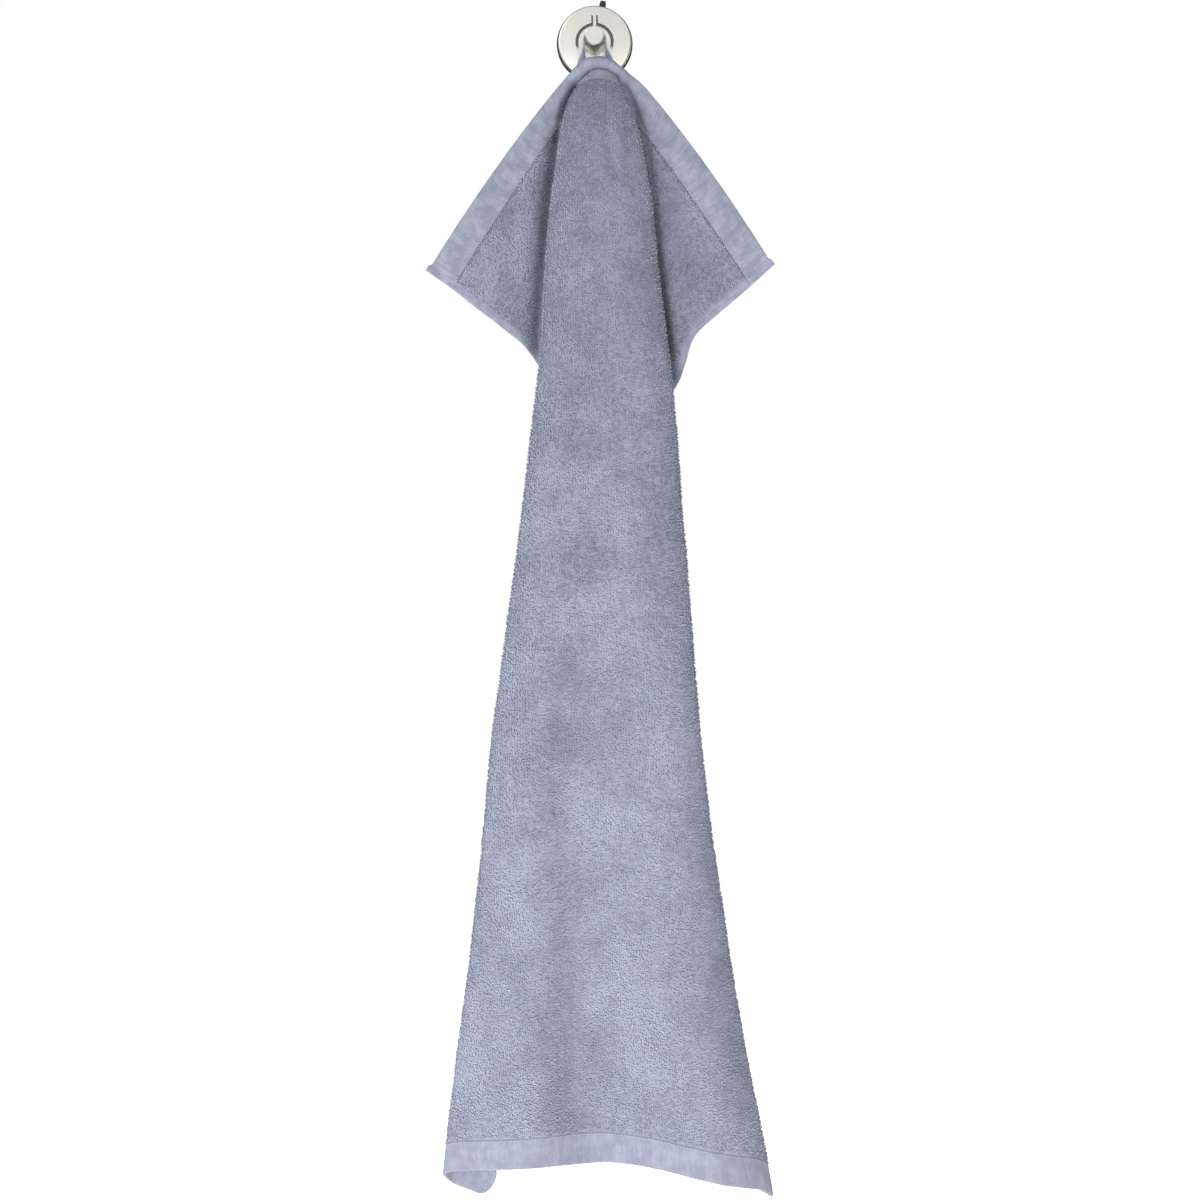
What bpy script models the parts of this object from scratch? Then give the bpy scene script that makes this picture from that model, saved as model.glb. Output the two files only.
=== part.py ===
"""A terry hand towel hung by its loop from a round wall hook.

The wall is the plane y = 0, the hook's back lies on it, -y is the front and +z is up.
The origin is the middle of the hook's back. Model units are metres. The cloth's tables
are in centimetres, because that is how a towel is measured, and CM turns them into metres.
"""

import math
from collections import namedtuple

import bmesh
import bpy
import numpy as np

CM = 0.01
MM = 0.001

# The cloth, laid flat.
TOWEL_WIDTH = 50.0 * CM
TOWEL_LENGTH = 100.0 * CM
TOWEL_THICKNESS = 3.0 * MM

# The hook.
PAD_RADIUS = 35.0 * MM
PAD_THICKNESS = 2.0 * MM
TAB_WIDTH = 5.7 * MM
TAB_OFFSET = 6.9 * MM
TAB_TOP = 40.8 * MM
COVER_RADIUS = 33.8 * MM
COVER_BACK = 2.3 * MM
COVER_EDGE = 7.2 * MM
COVER_FACE = 8.4 * MM
COVER_ROUNDING = 1.2 * MM
GROOVE_INNER = 14.9 * MM
GROOVE_OUTER = 17.4 * MM
GROOVE_DEPTH = 1.3 * MM
SLOT_OFFSET = 2.2 * MM
SLOT_WIDTH = 1.3 * MM
SLOT_TOP = 24.8 * MM
KNOB_RADIUS = 9.1 * MM
KNOB_FACE_RADIUS = 7.8 * MM
KNOB_TIP = 35.5 * MM
KNOB_DROP = 2.5 * MM
KNOB_SEAT = 8.75 * MM

# The loop is a flat tape over the knob. Its width turns a quarter between knob and hem.
TAPE_WIDTH = 8.0 * MM
TAPE_THICKNESS = 1.2 * MM
TAPE_GAP = 0.35 * MM
LOOP_DEPTH = 19.0 * MM

# Where the cloth's tables start from, beside and below the hook's middle.
HANG_ASIDE = 0.05
HANG_BELOW = -0.08

# How far a row may be rounded where the cloth folds, along the row.
FOLD_ROUNDING = 0.45
ROW_SAMPLES = 240

# A point of a fold line: how far down the cloth it is, then where it hangs, in centimetres.
Fold = namedtuple("Fold", "down x y z")
# The inner fold also has the radius that it turns in.
Tuck = namedtuple("Tuck", "down x y z radius")
# The front's swell: its height before the row's own arc, where it peaks between middle and fold, and how
# much the row sags there.
Swell = namedtuple("Swell", "down height peak sag")
# The flap behind: how much its middle lifts, how much it comes forward, and how deep it ruffles.
Flap = namedtuple("Flap", "down lift belly ruffle")

MIDDLE = (
    Fold(0.0, 0.26, -2.40, -1.79),
    Fold(0.55, 0.27, -2.85, -2.20),
    Fold(1.1, 0.30, -2.55, -2.72),
    Fold(1.9, 0.30, -2.75, -3.35),
    Fold(2.75, 0.28, -3.15, -4.05),
    Fold(5.0, 0.25, -4.25, -6.05),
    Fold(10.0, 0.20, -5.55, -10.90),
    Fold(20.0, 0.20, -6.60, -20.85),
    Fold(32.0, 0.20, -7.00, -32.85),
    Fold(45.0, 0.15, -6.90, -45.85),
    Fold(60.0, 0.05, -6.30, -60.90),
    Fold(80.0, 0.20, -5.60, -81.10),
    Fold(97.25, 0.40, -5.30, -98.75),
    Fold(100.0, 0.40, -5.30, -101.45),
)

LEFT_FOLD = (
    Fold(0.0, -1.10, -2.40, -2.00),
    Fold(0.55, -1.25, -2.80, -2.65),
    Fold(1.1, -1.45, -2.60, -3.60),
    Fold(1.9, -1.75, -2.65, -4.70),
    Fold(2.75, -2.10, -2.80, -5.60),
    Fold(5.0, -2.75, -3.40, -7.90),
    Fold(10.0, -3.45, -4.10, -12.60),
    Fold(20.0, -4.35, -4.60, -21.90),
    Fold(30.0, -5.20, -4.80, -31.80),
    Fold(45.0, -7.00, -4.90, -46.60),
    Fold(60.0, -9.05, -5.00, -61.50),
    Fold(80.0, -11.20, -5.00, -81.40),
    Fold(97.25, -13.40, -5.00, -99.95),
    Fold(100.0, -13.65, -5.00, -102.65),
)

LEFT_TUCK = (
    Tuck(0.0, -3.06, -2.30, -4.08, 0.0),
    Tuck(0.55, -2.85, -2.35, -4.70, 0.0),
    Tuck(1.1, -2.60, -2.25, -5.35, 0.0),
    Tuck(1.9, -2.35, -2.00, -7.20, 0.1),
    Tuck(2.75, -2.10, -1.85, -9.00, 0.2),
    Tuck(5.0, -1.45, -1.75, -12.20, 0.35),
    Tuck(10.0, -1.15, -1.80, -19.20, 0.4),
    Tuck(20.0, -1.00, -2.20, -29.00, 0.4),
    Tuck(30.0, -0.95, -2.60, -37.60, 0.4),
    Tuck(45.0, -1.10, -2.80, -50.60, 0.4),
    Tuck(60.0, -2.50, -2.80, -64.60, 0.4),
    Tuck(70.0, -4.60, -2.90, -74.20, 0.4),
    Tuck(79.0, -7.00, -3.10, -82.90, 0.35),
    Tuck(85.0, -9.00, -3.20, -88.80, 0.15),
    Tuck(91.0, -11.20, -3.00, -94.80, 0.0),
    Tuck(97.25, -12.80, -2.50, -101.30, 0.0),
    Tuck(100.0, -13.10, -2.50, -104.15, 0.0),
)

LEFT_SELVEDGE = (
    Fold(0.0, -15.27, -2.20, -21.30),
    Fold(2.68, -13.06, -2.10, -22.81),
    Fold(4.9, -11.32, -2.05, -24.21),
    Fold(7.2, -9.46, -2.00, -25.60),
    Fold(9.3, -7.83, -2.00, -26.88),
    Fold(10.8, -6.67, -2.00, -27.81),
    Fold(13.3, -5.02, -2.00, -29.90),
    Fold(17.0, -3.70, -1.80, -33.20),
    Fold(21.4, -3.60, -1.50, -37.00),
    Fold(30.0, -5.00, -1.60, -44.30),
    Fold(50.0, -7.10, -1.80, -61.60),
    Fold(70.0, -8.90, -1.90, -79.20),
    Fold(85.0, -9.50, -2.00, -92.40),
    Fold(97.9, -8.95, -2.20, -103.35),
    Fold(100.0, -9.85, -2.20, -105.50),
)

RIGHT_FOLD = (
    Fold(0.0, 1.50, -2.40, -2.15),
    Fold(0.55, 1.65, -2.80, -2.70),
    Fold(1.1, 1.90, -2.60, -3.50),
    Fold(1.9, 2.30, -2.65, -4.50),
    Fold(2.75, 2.75, -2.85, -5.60),
    Fold(5.0, 3.60, -3.40, -7.90),
    Fold(10.0, 4.55, -4.10, -12.80),
    Fold(20.0, 5.75, -4.60, -22.60),
    Fold(30.0, 7.05, -4.80, -32.40),
    Fold(45.0, 8.15, -4.90, -47.70),
    Fold(60.0, 9.50, -5.00, -63.00),
    Fold(80.0, 12.20, -5.00, -83.60),
    Fold(97.25, 15.40, -5.00, -101.90),
    Fold(100.0, 15.85, -5.00, -104.80),
)

RIGHT_TUCK = (
    Tuck(0.0, 4.25, -2.30, -4.15, 0.0),
    Tuck(0.55, 3.85, -2.35, -4.75, 0.0),
    Tuck(1.1, 3.40, -2.25, -5.40, 0.0),
    Tuck(1.9, 3.00, -2.00, -6.90, 0.1),
    Tuck(2.75, 2.60, -1.85, -8.60, 0.2),
    Tuck(5.0, 2.05, -1.75, -11.90, 0.35),
    Tuck(10.0, 1.50, -1.80, -18.20, 0.4),
    Tuck(20.0, 1.30, -2.20, -28.60, 0.4),
    Tuck(30.0, 1.25, -2.60, -37.90, 0.4),
    Tuck(45.0, 1.50, -2.80, -51.60, 0.4),
    Tuck(60.0, 3.20, -2.80, -66.00, 0.4),
    Tuck(70.0, 5.60, -2.90, -75.60, 0.4),
    Tuck(79.0, 8.30, -3.10, -84.30, 0.35),
    Tuck(85.0, 10.70, -3.20, -90.20, 0.15),
    Tuck(91.0, 13.00, -3.00, -96.20, 0.0),
    Tuck(97.25, 14.70, -2.50, -102.30, 0.0),
    Tuck(100.0, 15.10, -2.50, -104.90, 0.0),
)

RIGHT_SELVEDGE = (
    Fold(0.0, 16.20, -2.20, -20.75),
    Fold(1.17, 15.33, -2.15, -21.53),
    Fold(3.97, 13.24, -2.05, -23.40),
    Fold(7.03, 10.91, -2.05, -25.38),
    Fold(9.24, 9.29, -2.15, -26.88),
    Fold(10.8, 8.50, -2.25, -28.20),
    Fold(13.6, 7.80, -2.30, -30.94),
    Fold(15.4, 6.95, -2.20, -32.50),
    Fold(18.0, 5.90, -1.90, -34.70),
    Fold(22.0, 5.20, -1.50, -38.40),
    Fold(30.0, 6.00, -1.60, -45.40),
    Fold(50.0, 7.80, -1.80, -62.40),
    Fold(70.0, 9.90, -1.90, -79.40),
    Fold(85.0, 11.30, -2.00, -92.00),
    Fold(100.0, 12.00, -2.20, -103.90),
)

LEFT_SWELL = (
    Swell(0.0, 0.0, 0.60, 0.0),
    Swell(30.0, 0.0, 0.66, 0.0),
    Swell(45.0, 0.5, 0.66, 0.0),
    Swell(60.0, 1.2, 0.64, 0.0),
    Swell(80.0, 1.9, 0.57, 0.0),
    Swell(100.0, 2.3, 0.53, -0.25),
)

RIGHT_SWELL = (
    Swell(0.0, 0.0, 0.60, 0.0),
    Swell(30.0, 0.0, 0.72, 0.0),
    Swell(45.0, 0.5, 0.72, 0.0),
    Swell(60.0, 1.2, 0.72, 0.0),
    Swell(80.0, 1.9, 0.64, 0.0),
    Swell(100.0, 2.3, 0.68, 0.35),
)

LEFT_FLAP = (
    Flap(0.0, 0.60, -0.10, 0.0),
    Flap(5.0, 0.40, -0.20, 0.0),
    Flap(15.0, 0.0, 0.0, 0.0),
    Flap(25.0, 0.0, 0.0, 0.6),
    Flap(50.0, 0.0, 0.0, 0.8),
    Flap(90.0, 0.0, 0.0, 0.7),
    Flap(100.0, 0.0, 0.0, 0.3),
)

RIGHT_FLAP = (
    Flap(0.0, 0.65, -0.10, 0.0),
    Flap(5.0, 0.45, -0.60, 0.0),
    Flap(10.0, 0.10, -0.90, 0.0),
    Flap(18.0, 0.0, 0.0, 0.0),
    Flap(25.0, 0.0, 0.0, 0.6),
    Flap(50.0, 0.0, 0.0, 0.8),
    Flap(90.0, 0.0, 0.0, 0.7),
    Flap(100.0, 0.0, 0.0, 0.3),
)
# The ruffles come this often, each a little longer or shorter than the last.
RUFFLE_LENGTH = 17.0
RUFFLE_DRIFT, RUFFLE_DRIFT_LENGTH = 0.9, 41.0

Side = namedtuple("Side", "fold tuck selvedge swell flap phase inward")
LEFT = Side(LEFT_FOLD, LEFT_TUCK, LEFT_SELVEDGE, LEFT_SWELL, LEFT_FLAP, 0.6, 1.0)
RIGHT = Side(RIGHT_FOLD, RIGHT_TUCK, RIGHT_SELVEDGE, RIGHT_SWELL, RIGHT_FLAP, 3.1, -1.0)

# Where the solid's rows lie: how many steps down to each distance.
Band = namedtuple("Band", "to steps")
BANDS = (Band(3.0, 12), Band(8.0, 8), Band(32.0, 14), Band(100.0, 25))


def monotone(down, knots, values):
    """A smooth curve through the knots that never overshoots them: cubic, with harmonic-mean slopes."""
    knots = np.asarray(knots, float)
    values = np.asarray(values, float)
    gap = np.diff(knots)
    rise = np.diff(values) / gap
    slope = np.empty_like(values)
    same = rise[:-1] * rise[1:] > 0
    safe = np.where(same, rise[:-1] * rise[1:], 1.0)
    blend = (2 * gap[1:] + gap[:-1]) * rise[1:] + (gap[1:] + 2 * gap[:-1]) * rise[:-1]
    total = 3 * (gap[1:] + gap[:-1])
    slope[1:-1] = np.where(same, total * safe / np.where(same, blend, 1.0), 0.0)
    slope[0], slope[-1] = rise[0], rise[-1]
    at = np.clip(np.searchsorted(knots, down, side="right") - 1, 0, len(gap) - 1)
    u = (down - knots[at]) / gap[at]
    start = values[at] * (1 + 2 * u) * (1 - u) ** 2 + values[at + 1] * u * u * (3 - 2 * u)
    return start + gap[at] * (slope[at] * u * (1 - u) ** 2 - slope[at + 1] * u * u * (1 - u))


def column(table, name, down):
    """One named column of a table, read at every row of the cloth, as a column of numbers."""
    knots = [row.down for row in table]
    values = [getattr(row, name) for row in table]
    return monotone(down, knots, values)[:, None]


def place(table, down):
    across, out, up = (column(table, name, down) for name in ("x", "y", "z"))
    return [across + HANG_ASIDE, out, up + HANG_BELOW]


def half_rows(side, down):
    """Half of each row, from the middle round the fold, into the tuck and out to the selvedge."""
    u = np.linspace(0.0, 1.0, ROW_SAMPLES)[None, :]
    middle, fold = place(MIDDLE, down), place(side.fold, down)
    tuck, edge = place(side.tuck, down), place(side.selvedge, down)
    turn = u * math.pi / 2
    across, fall = np.sin(turn), 1 - np.cos(turn)
    peak = column(side.swell, "peak", down)
    bulge = np.sin(math.pi * across ** (np.log(0.5) / np.log(peak)))
    swell, sag = (column(side.swell, name, down) * bulge for name in ("height", "sag"))
    front = (
        middle[0] + (fold[0] - middle[0]) * across,
        middle[1] + (fold[1] - middle[1]) * fall - swell,
        middle[2] + (fold[2] - middle[2]) * fall - sag,
    )
    radius = column(side.tuck, "radius", down)
    near = [tuck[0], tuck[1] - radius, tuck[2]]
    far = [tuck[0], tuck[1] + radius, tuck[2]]
    back = [a + (b - a) * u for a, b in zip(fold, near)]
    bend = [
        tuck[0] + side.inward * radius * np.sin(2 * turn),
        tuck[1] - radius * np.cos(2 * turn),
        tuck[2] + 0 * turn,
    ]
    hump = 4 * u * (1 - u)
    drift = RUFFLE_DRIFT * np.sin(2 * math.pi * down[:, None] / RUFFLE_DRIFT_LENGTH + side.phase)
    wave = np.sin(2 * math.pi * down[:, None] / RUFFLE_LENGTH + side.phase + drift)
    flap = [a + (b - a) * u for a, b in zip(far, edge)]
    flap[1] = flap[1] + column(side.flap, "belly", down) * hump
    flap[1] = flap[1] + column(side.flap, "ruffle", down) * wave * u * u
    flap[2] = flap[2] + column(side.flap, "lift", down) * hump
    runs = zip(front, back, bend, flap)
    parts = [np.concatenate([f, b[:, 1:], m[:, 1:], e[:, 1:]], axis=1) for f, b, m, e in runs]
    return np.stack(parts, axis=2)


def even_rows(rows):
    """The same rows with their points spread evenly along them, and how far along each fold falls."""
    step = np.linalg.norm(np.diff(rows, axis=1), axis=2)
    reach = np.concatenate([np.zeros((len(rows), 1)), np.cumsum(step, axis=1)], axis=1)
    share = reach / reach[:, -1:]
    wanted = np.linspace(0.0, 1.0, ROW_SAMPLES + 1)
    spread = [[np.interp(wanted, s, row[:, k]) for k in range(3)] for s, row in zip(share, rows)]
    turns = share[:, [ROW_SAMPLES - 1, (5 * ROW_SAMPLES - 5) // 2]]
    return np.transpose(np.array(spread), (0, 2, 1)), turns


def rounded(rows):
    """Each row smoothed along itself with a bell-shaped weight, its two ends kept where they are."""
    step = TOWEL_WIDTH / CM / 2 / ROW_SAMPLES
    reach = int(4 * FOLD_ROUNDING / step)
    weight = np.exp(-0.5 * (np.arange(-reach, reach + 1) * step / FOLD_ROUNDING) ** 2)
    weight /= weight.sum()
    head = 2 * rows[:, :1] - rows[:, reach:0:-1]
    tail = 2 * rows[:, -1:] - rows[:, -2 : -reach - 2 : -1]
    padded = np.concatenate([head, rows, tail], axis=1)
    total = sum(w * padded[:, k : k + rows.shape[1]] for k, w in enumerate(weight))
    return total


def hung_cloth(down):
    """The cloth's middle surface: a row of points for each distance down, selvedge to selvedge."""
    left, left_turns = even_rows(half_rows(LEFT, down))
    right, right_turns = even_rows(half_rows(RIGHT, down))
    rows = rounded(np.concatenate([left[:, ::-1], right[:, 1:]], axis=1))
    return rows, left_turns, right_turns


def half_stops(turns):
    """Where the solid's points lie along half a row: close together round each fold."""
    half = TOWEL_WIDTH / CM / 2
    near = np.array([-0.9, -0.45, 0.0, 0.45, 0.9])
    fold, tuck = turns[:, :1] * half, turns[:, 1:] * half
    before = (fold - 0.9) * np.arange(5) / 5
    between = fold + 0.9 + (tuck - fold - 1.8) * np.array([1, 2]) / 3
    beyond = tuck + 0.9 + (half - tuck - 0.9) * np.arange(1, 8) / 7
    return np.concatenate([before, fold + near, between, tuck + near, beyond], axis=1)


def solid_grid():
    starts = np.concatenate([[0.0], [band.to for band in BANDS]])
    stops = [np.linspace(a, b.to, b.steps, endpoint=False) for a, b in zip(starts, BANDS)]
    down = np.concatenate(stops + [[BANDS[-1].to]])
    rows, left_turns, right_turns = hung_cloth(down)
    left = -half_stops(left_turns)[:, ::-1]
    across = np.concatenate([left, half_stops(right_turns)[:, 1:]], axis=1)
    half = TOWEL_WIDTH / CM / 2
    index = np.linspace(-half, half, rows.shape[1])
    picked = [[np.interp(a, index, row[:, k]) for k in range(3)] for a, row in zip(across, rows)]
    return np.transpose(np.array(picked), (0, 2, 1)) * CM


def collection(name, helper=False):
    made = bpy.data.collections.new(name)
    bpy.context.scene.collection.children.link(made)
    made.hide_render = helper
    return made


def material(name, colour, roughness, metallic=0.0):
    made = bpy.data.materials.new(name)
    made.use_nodes = True
    shader = made.node_tree.nodes["Principled BSDF"]
    shader.inputs["Base Color"].default_value = (*colour, 1.0)
    shader.inputs["Roughness"].default_value = roughness
    shader.inputs["Metallic"].default_value = metallic
    return made


def mesh_object(name, points, faces, home, look=None, smooth=True):
    mesh = bpy.data.meshes.new(name)
    mesh.from_pydata([tuple(p) for p in points], [], faces)
    mesh.polygons.foreach_set("use_smooth", [smooth] * len(mesh.polygons))
    obj = bpy.data.objects.new(name, mesh)
    home.objects.link(obj)
    if look:
        mesh.materials.append(look)
    return obj


def grid_faces(rows, columns, closed=False):
    """Four-sided faces between neighbouring points of a grid; closed joins the last column to the first."""
    last = columns if closed else columns - 1
    faces = []
    for r in range(rows - 1):
        for c in range(last):
            d = (c + 1) % columns
            faces.append((r * columns + c, r * columns + d, (r + 1) * columns + d, (r + 1) * columns + c))
    return faces


def add_towel(home, look):
    grid = solid_grid()
    rows, columns = grid.shape[:2]
    obj = mesh_object("towel", grid.reshape(-1, 3), grid_faces(rows, columns), home, look)
    solid = obj.modifiers.new("thickness", "SOLIDIFY")
    solid.thickness = TOWEL_THICKNESS
    solid.offset = 0.0
    solid.use_even_offset = False
    return obj


def turned(name, profile, home, look=None, steps=72):
    """A shape turned about the y axis from a profile of (radius, depth in front of the wall)."""
    mesh = bpy.data.meshes.new(name)
    points = [(radius, -depth, 0.0) for radius, depth in profile]
    mesh.from_pydata(points, [(k, k + 1) for k in range(len(points) - 1)], [])
    obj = bpy.data.objects.new(name, mesh)
    home.objects.link(obj)
    spin = obj.modifiers.new("turn", "SCREW")
    spin.axis = "Y"
    spin.steps = spin.render_steps = steps
    spin.use_merge_vertices = True
    spin.merge_threshold = 1e-5
    spin.use_normal_calculate = True
    spin.use_smooth_shade = True
    if look:
        mesh.materials.append(look)
    return obj


def box(name, low, high, home, turn=0.0):
    points = [(x, y, z) for x in (low[0], high[0]) for y in (low[1], high[1]) for z in (low[2], high[2])]
    faces = [(0, 1, 3, 2), (4, 6, 7, 5), (0, 4, 5, 1), (2, 3, 7, 6), (0, 2, 6, 4), (1, 5, 7, 3)]
    obj = mesh_object(name, points, faces, home, smooth=False)
    obj.display_type = "WIRE"
    obj.hide_render = True
    obj.rotation_euler = (0.0, turn, 0.0)
    return obj


def boolean(obj, other, operation):
    cut = obj.modifiers.new(other.name, "BOOLEAN")
    cut.object = other
    cut.operation = operation
    cut.solver = "EXACT"


def arc(centre, radius, start, stop, steps):
    """Points (radius, depth) round part of a circle, angles in degrees."""
    angles = np.radians(np.linspace(start, stop, steps))
    return [(centre[0] + radius * math.cos(a), centre[1] + radius * math.sin(a)) for a in angles]


def add_tab_shape(home):
    """The tab that lifts the pad off the wall: a flat tongue with a half-round top."""
    angles = np.linspace(0, math.pi, 13)
    top = TAB_TOP - TAB_WIDTH / 2
    outline = [(TAB_OFFSET + TAB_WIDTH / 2 * math.cos(a), top + TAB_WIDTH / 2 * math.sin(a)) for a in angles]
    outline += [(x, PAD_RADIUS - 4 * MM) for x in (TAB_OFFSET - TAB_WIDTH / 2, TAB_OFFSET + TAB_WIDTH / 2)]
    count = len(outline)
    points = [(x, y, z) for y in (-PAD_THICKNESS + 0.2 * MM, -0.2 * MM) for x, z in outline]
    faces = [(k, (k + 1) % count, (k + 1) % count + count, k + count) for k in range(count)]
    faces += [tuple(range(count))[::-1], tuple(range(count, 2 * count))]
    tab = mesh_object("tab_shape", points, faces, home, smooth=False)
    tab.hide_render = True
    fix = bmesh.new()
    fix.from_mesh(tab.data)
    bmesh.ops.recalc_face_normals(fix, faces=fix.faces)
    fix.to_mesh(tab.data)
    fix.free()
    return tab


def add_pad(home, cutters, look):
    rim = arc((PAD_RADIUS - 0.6 * MM, PAD_THICKNESS - 0.6 * MM), 0.6 * MM, 0, 90, 5)
    profile = [(0.0, 0.0), (PAD_RADIUS, 0.0), *rim, (0.0, PAD_THICKNESS)]
    pad = turned("backing_pad", profile, home, look)
    boolean(pad, add_tab_shape(cutters), "UNION")
    return pad


def cover_profile():
    """The pressed disc's section: a shallow dome with a rounded rim and a ring groove."""
    rim_middle = (COVER_RADIUS - COVER_ROUNDING, COVER_EDGE - COVER_ROUNDING)
    rim = arc(rim_middle, COVER_ROUNDING, 0, 80, 6)

    def dome(radius):
        return COVER_FACE - (COVER_FACE - COVER_EDGE) * (radius / COVER_RADIUS) ** 2.4

    outer = [(r, dome(r)) for r in np.linspace(rim[-1][0] - 1 * MM, GROOVE_OUTER + 0.3 * MM, 6)]
    floor = dome(GROOVE_OUTER) - GROOVE_DEPTH
    groove = [(GROOVE_OUTER, dome(GROOVE_OUTER) - 0.3 * MM), (GROOVE_OUTER - 0.1 * MM, floor)]
    groove += [(GROOVE_INNER + 0.1 * MM, floor), (GROOVE_INNER, dome(GROOVE_INNER) - 0.3 * MM)]
    inner = [(r, dome(r)) for r in np.linspace(GROOVE_INNER - 0.3 * MM, 0.0, 5)]
    return [(0.0, COVER_BACK), (COVER_RADIUS, COVER_BACK), *rim, *outer, *groove, *inner]


def add_cover(home, cutters, look):
    cover = turned("cover_disc", cover_profile(), home, look, steps=72)
    floor = -(COVER_FACE - GROOVE_DEPTH - 0.1 * MM)
    bridge_low = (-SLOT_OFFSET - 0.2 * MM, -COVER_FACE + 0.35 * MM, GROOVE_INNER - 0.8 * MM)
    bridge_high = (SLOT_OFFSET + 0.2 * MM, floor + 0.6 * MM, GROOVE_OUTER + 0.9 * MM)
    bridge = box("bridge_shape", bridge_low, bridge_high, cutters)
    boolean(cover, bridge, "UNION")
    for side in (-1, 1):
        low = (side * SLOT_OFFSET - SLOT_WIDTH / 2, -COVER_FACE - 2 * MM, GROOVE_INNER + 0.9 * MM)
        high = (side * SLOT_OFFSET + SLOT_WIDTH / 2, floor, SLOT_TOP)
        boolean(cover, box(f"slot_shape_{side + 1}", low, high, cutters), "DIFFERENCE")
    return cover


def add_knob(home, look):
    edge = KNOB_RADIUS - KNOB_FACE_RADIUS
    tip = arc((KNOB_FACE_RADIUS, KNOB_TIP - edge), edge, 0, 90, 7)
    root = arc((KNOB_RADIUS, KNOB_SEAT), 0.0, 0, 0, 1)
    knob = turned("knob", [(0.0, KNOB_SEAT), *root, *tip, (0.0, KNOB_TIP)], home, look, steps=64)
    knob.location = (0.0, 0.0, -KNOB_DROP)
    return knob


# The tape's course over the knob, in millimetres, and how far its width has turned to lie across.
Course = namedtuple("Course", "x y z across")
SEWN_LEFT = (
    Course(-12.0, -21.8, -30.0, 1.0),
    Course(-11.9, -21.5, -25.0, 1.0),
    Course(-11.4, -20.2, -21.0, 0.85),
    Course(-10.8, -19.4, -17.5, 0.5),
    Course(-10.2, -19.1, -12.5, 0.22),
    Course(-10.0, -19.0, -7.0, 0.03),
)
SEWN_RIGHT = (
    Course(10.4, -19.0, -7.0, 0.03),
    Course(11.2, -19.1, -12.5, 0.22),
    Course(12.2, -19.4, -17.5, 0.5),
    Course(12.9, -20.2, -21.0, 0.85),
    Course(13.4, -21.5, -25.0, 1.0),
    Course(13.6, -21.8, -30.0, 1.0),
)


def add_loop(home, look):
    """The tape swept along its course: over the knob its width lies along y, at the hem along x."""
    reach = KNOB_RADIUS + TAPE_GAP + TAPE_THICKNESS / 2
    angles = np.radians(np.linspace(178, 2, 17))
    over = [(reach * math.cos(a), -LOOP_DEPTH, reach * math.sin(a) - KNOB_DROP, 0.0) for a in angles]
    left = [(c.x * MM, c.y * MM, c.z * MM, -c.across) for c in SEWN_LEFT]
    right = [(c.x * MM, c.y * MM, c.z * MM, c.across) for c in SEWN_RIGHT]
    course = np.array(left + over + right)
    path, across = course[:, :3], course[:, 3:]
    along = np.gradient(path, axis=0)
    along /= np.linalg.norm(along, axis=1, keepdims=True)
    quarter = across * math.pi / 2
    wide = np.concatenate([np.sin(quarter), -np.cos(quarter), 0 * quarter], axis=1)
    wide -= (wide * along).sum(axis=1, keepdims=True) * along
    wide /= np.linalg.norm(wide, axis=1, keepdims=True)
    thick = np.cross(along, wide)
    corners = []
    for w, h in ((-0.5, -0.5), (0.5, -0.5), (0.5, 0.5), (-0.5, 0.5)):
        corners.append(path + w * TAPE_WIDTH * wide + h * TAPE_THICKNESS * thick)
    points = np.stack(corners, axis=1).reshape(-1, 3)
    count = len(path)
    faces = grid_faces(count, 4, closed=True)
    faces += [(3, 2, 1, 0), tuple(4 * (count - 1) + k for k in range(4))]
    obj = mesh_object("hanging_loop", points, faces, home, look)
    fix = bmesh.new()
    fix.from_mesh(obj.data)
    bmesh.ops.recalc_face_normals(fix, faces=fix.faces)
    fix.to_mesh(obj.data)
    fix.free()
    soft = obj.modifiers.new("soft", "BEVEL")
    soft.width = 0.25 * MM
    soft.segments = 1
    soft.limit_method = "ANGLE"
    soft.angle_limit = math.radians(60)
    return obj


def main():
    for obj in list(bpy.data.objects):
        bpy.data.objects.remove(obj, do_unlink=True)
    home = collection("Hand towel on a wall hook")
    cutters = collection("Cutters", helper=True)
    steel = material("brushed steel", (0.62, 0.61, 0.59), 0.35, 1.0)
    rubber = material("black rubber", (0.02, 0.02, 0.022), 0.7)
    terry = material("grey-blue terry", (0.31, 0.33, 0.42), 0.95)
    tape = material("grey-blue tape", (0.36, 0.38, 0.47), 0.9)
    add_pad(home, cutters, rubber)
    add_cover(home, cutters, steel)
    add_knob(home, steel.copy())
    add_towel(home, terry)
    add_loop(home, tape)


main()
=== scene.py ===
# %% [markdown]
# # A terry hand towel on a round wall hook
# The towel hangs by a tape loop at the middle of its top hem. Its weight pulls the middle
# down, so the two top corners fall to the sides and the cloth stands in pleats below.
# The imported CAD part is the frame: everything here is in its metres and its axes, with the
# wall at y = 0, the front towards -y and up along +z.

# %% Load the frame
import math
from collections import namedtuple

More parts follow.
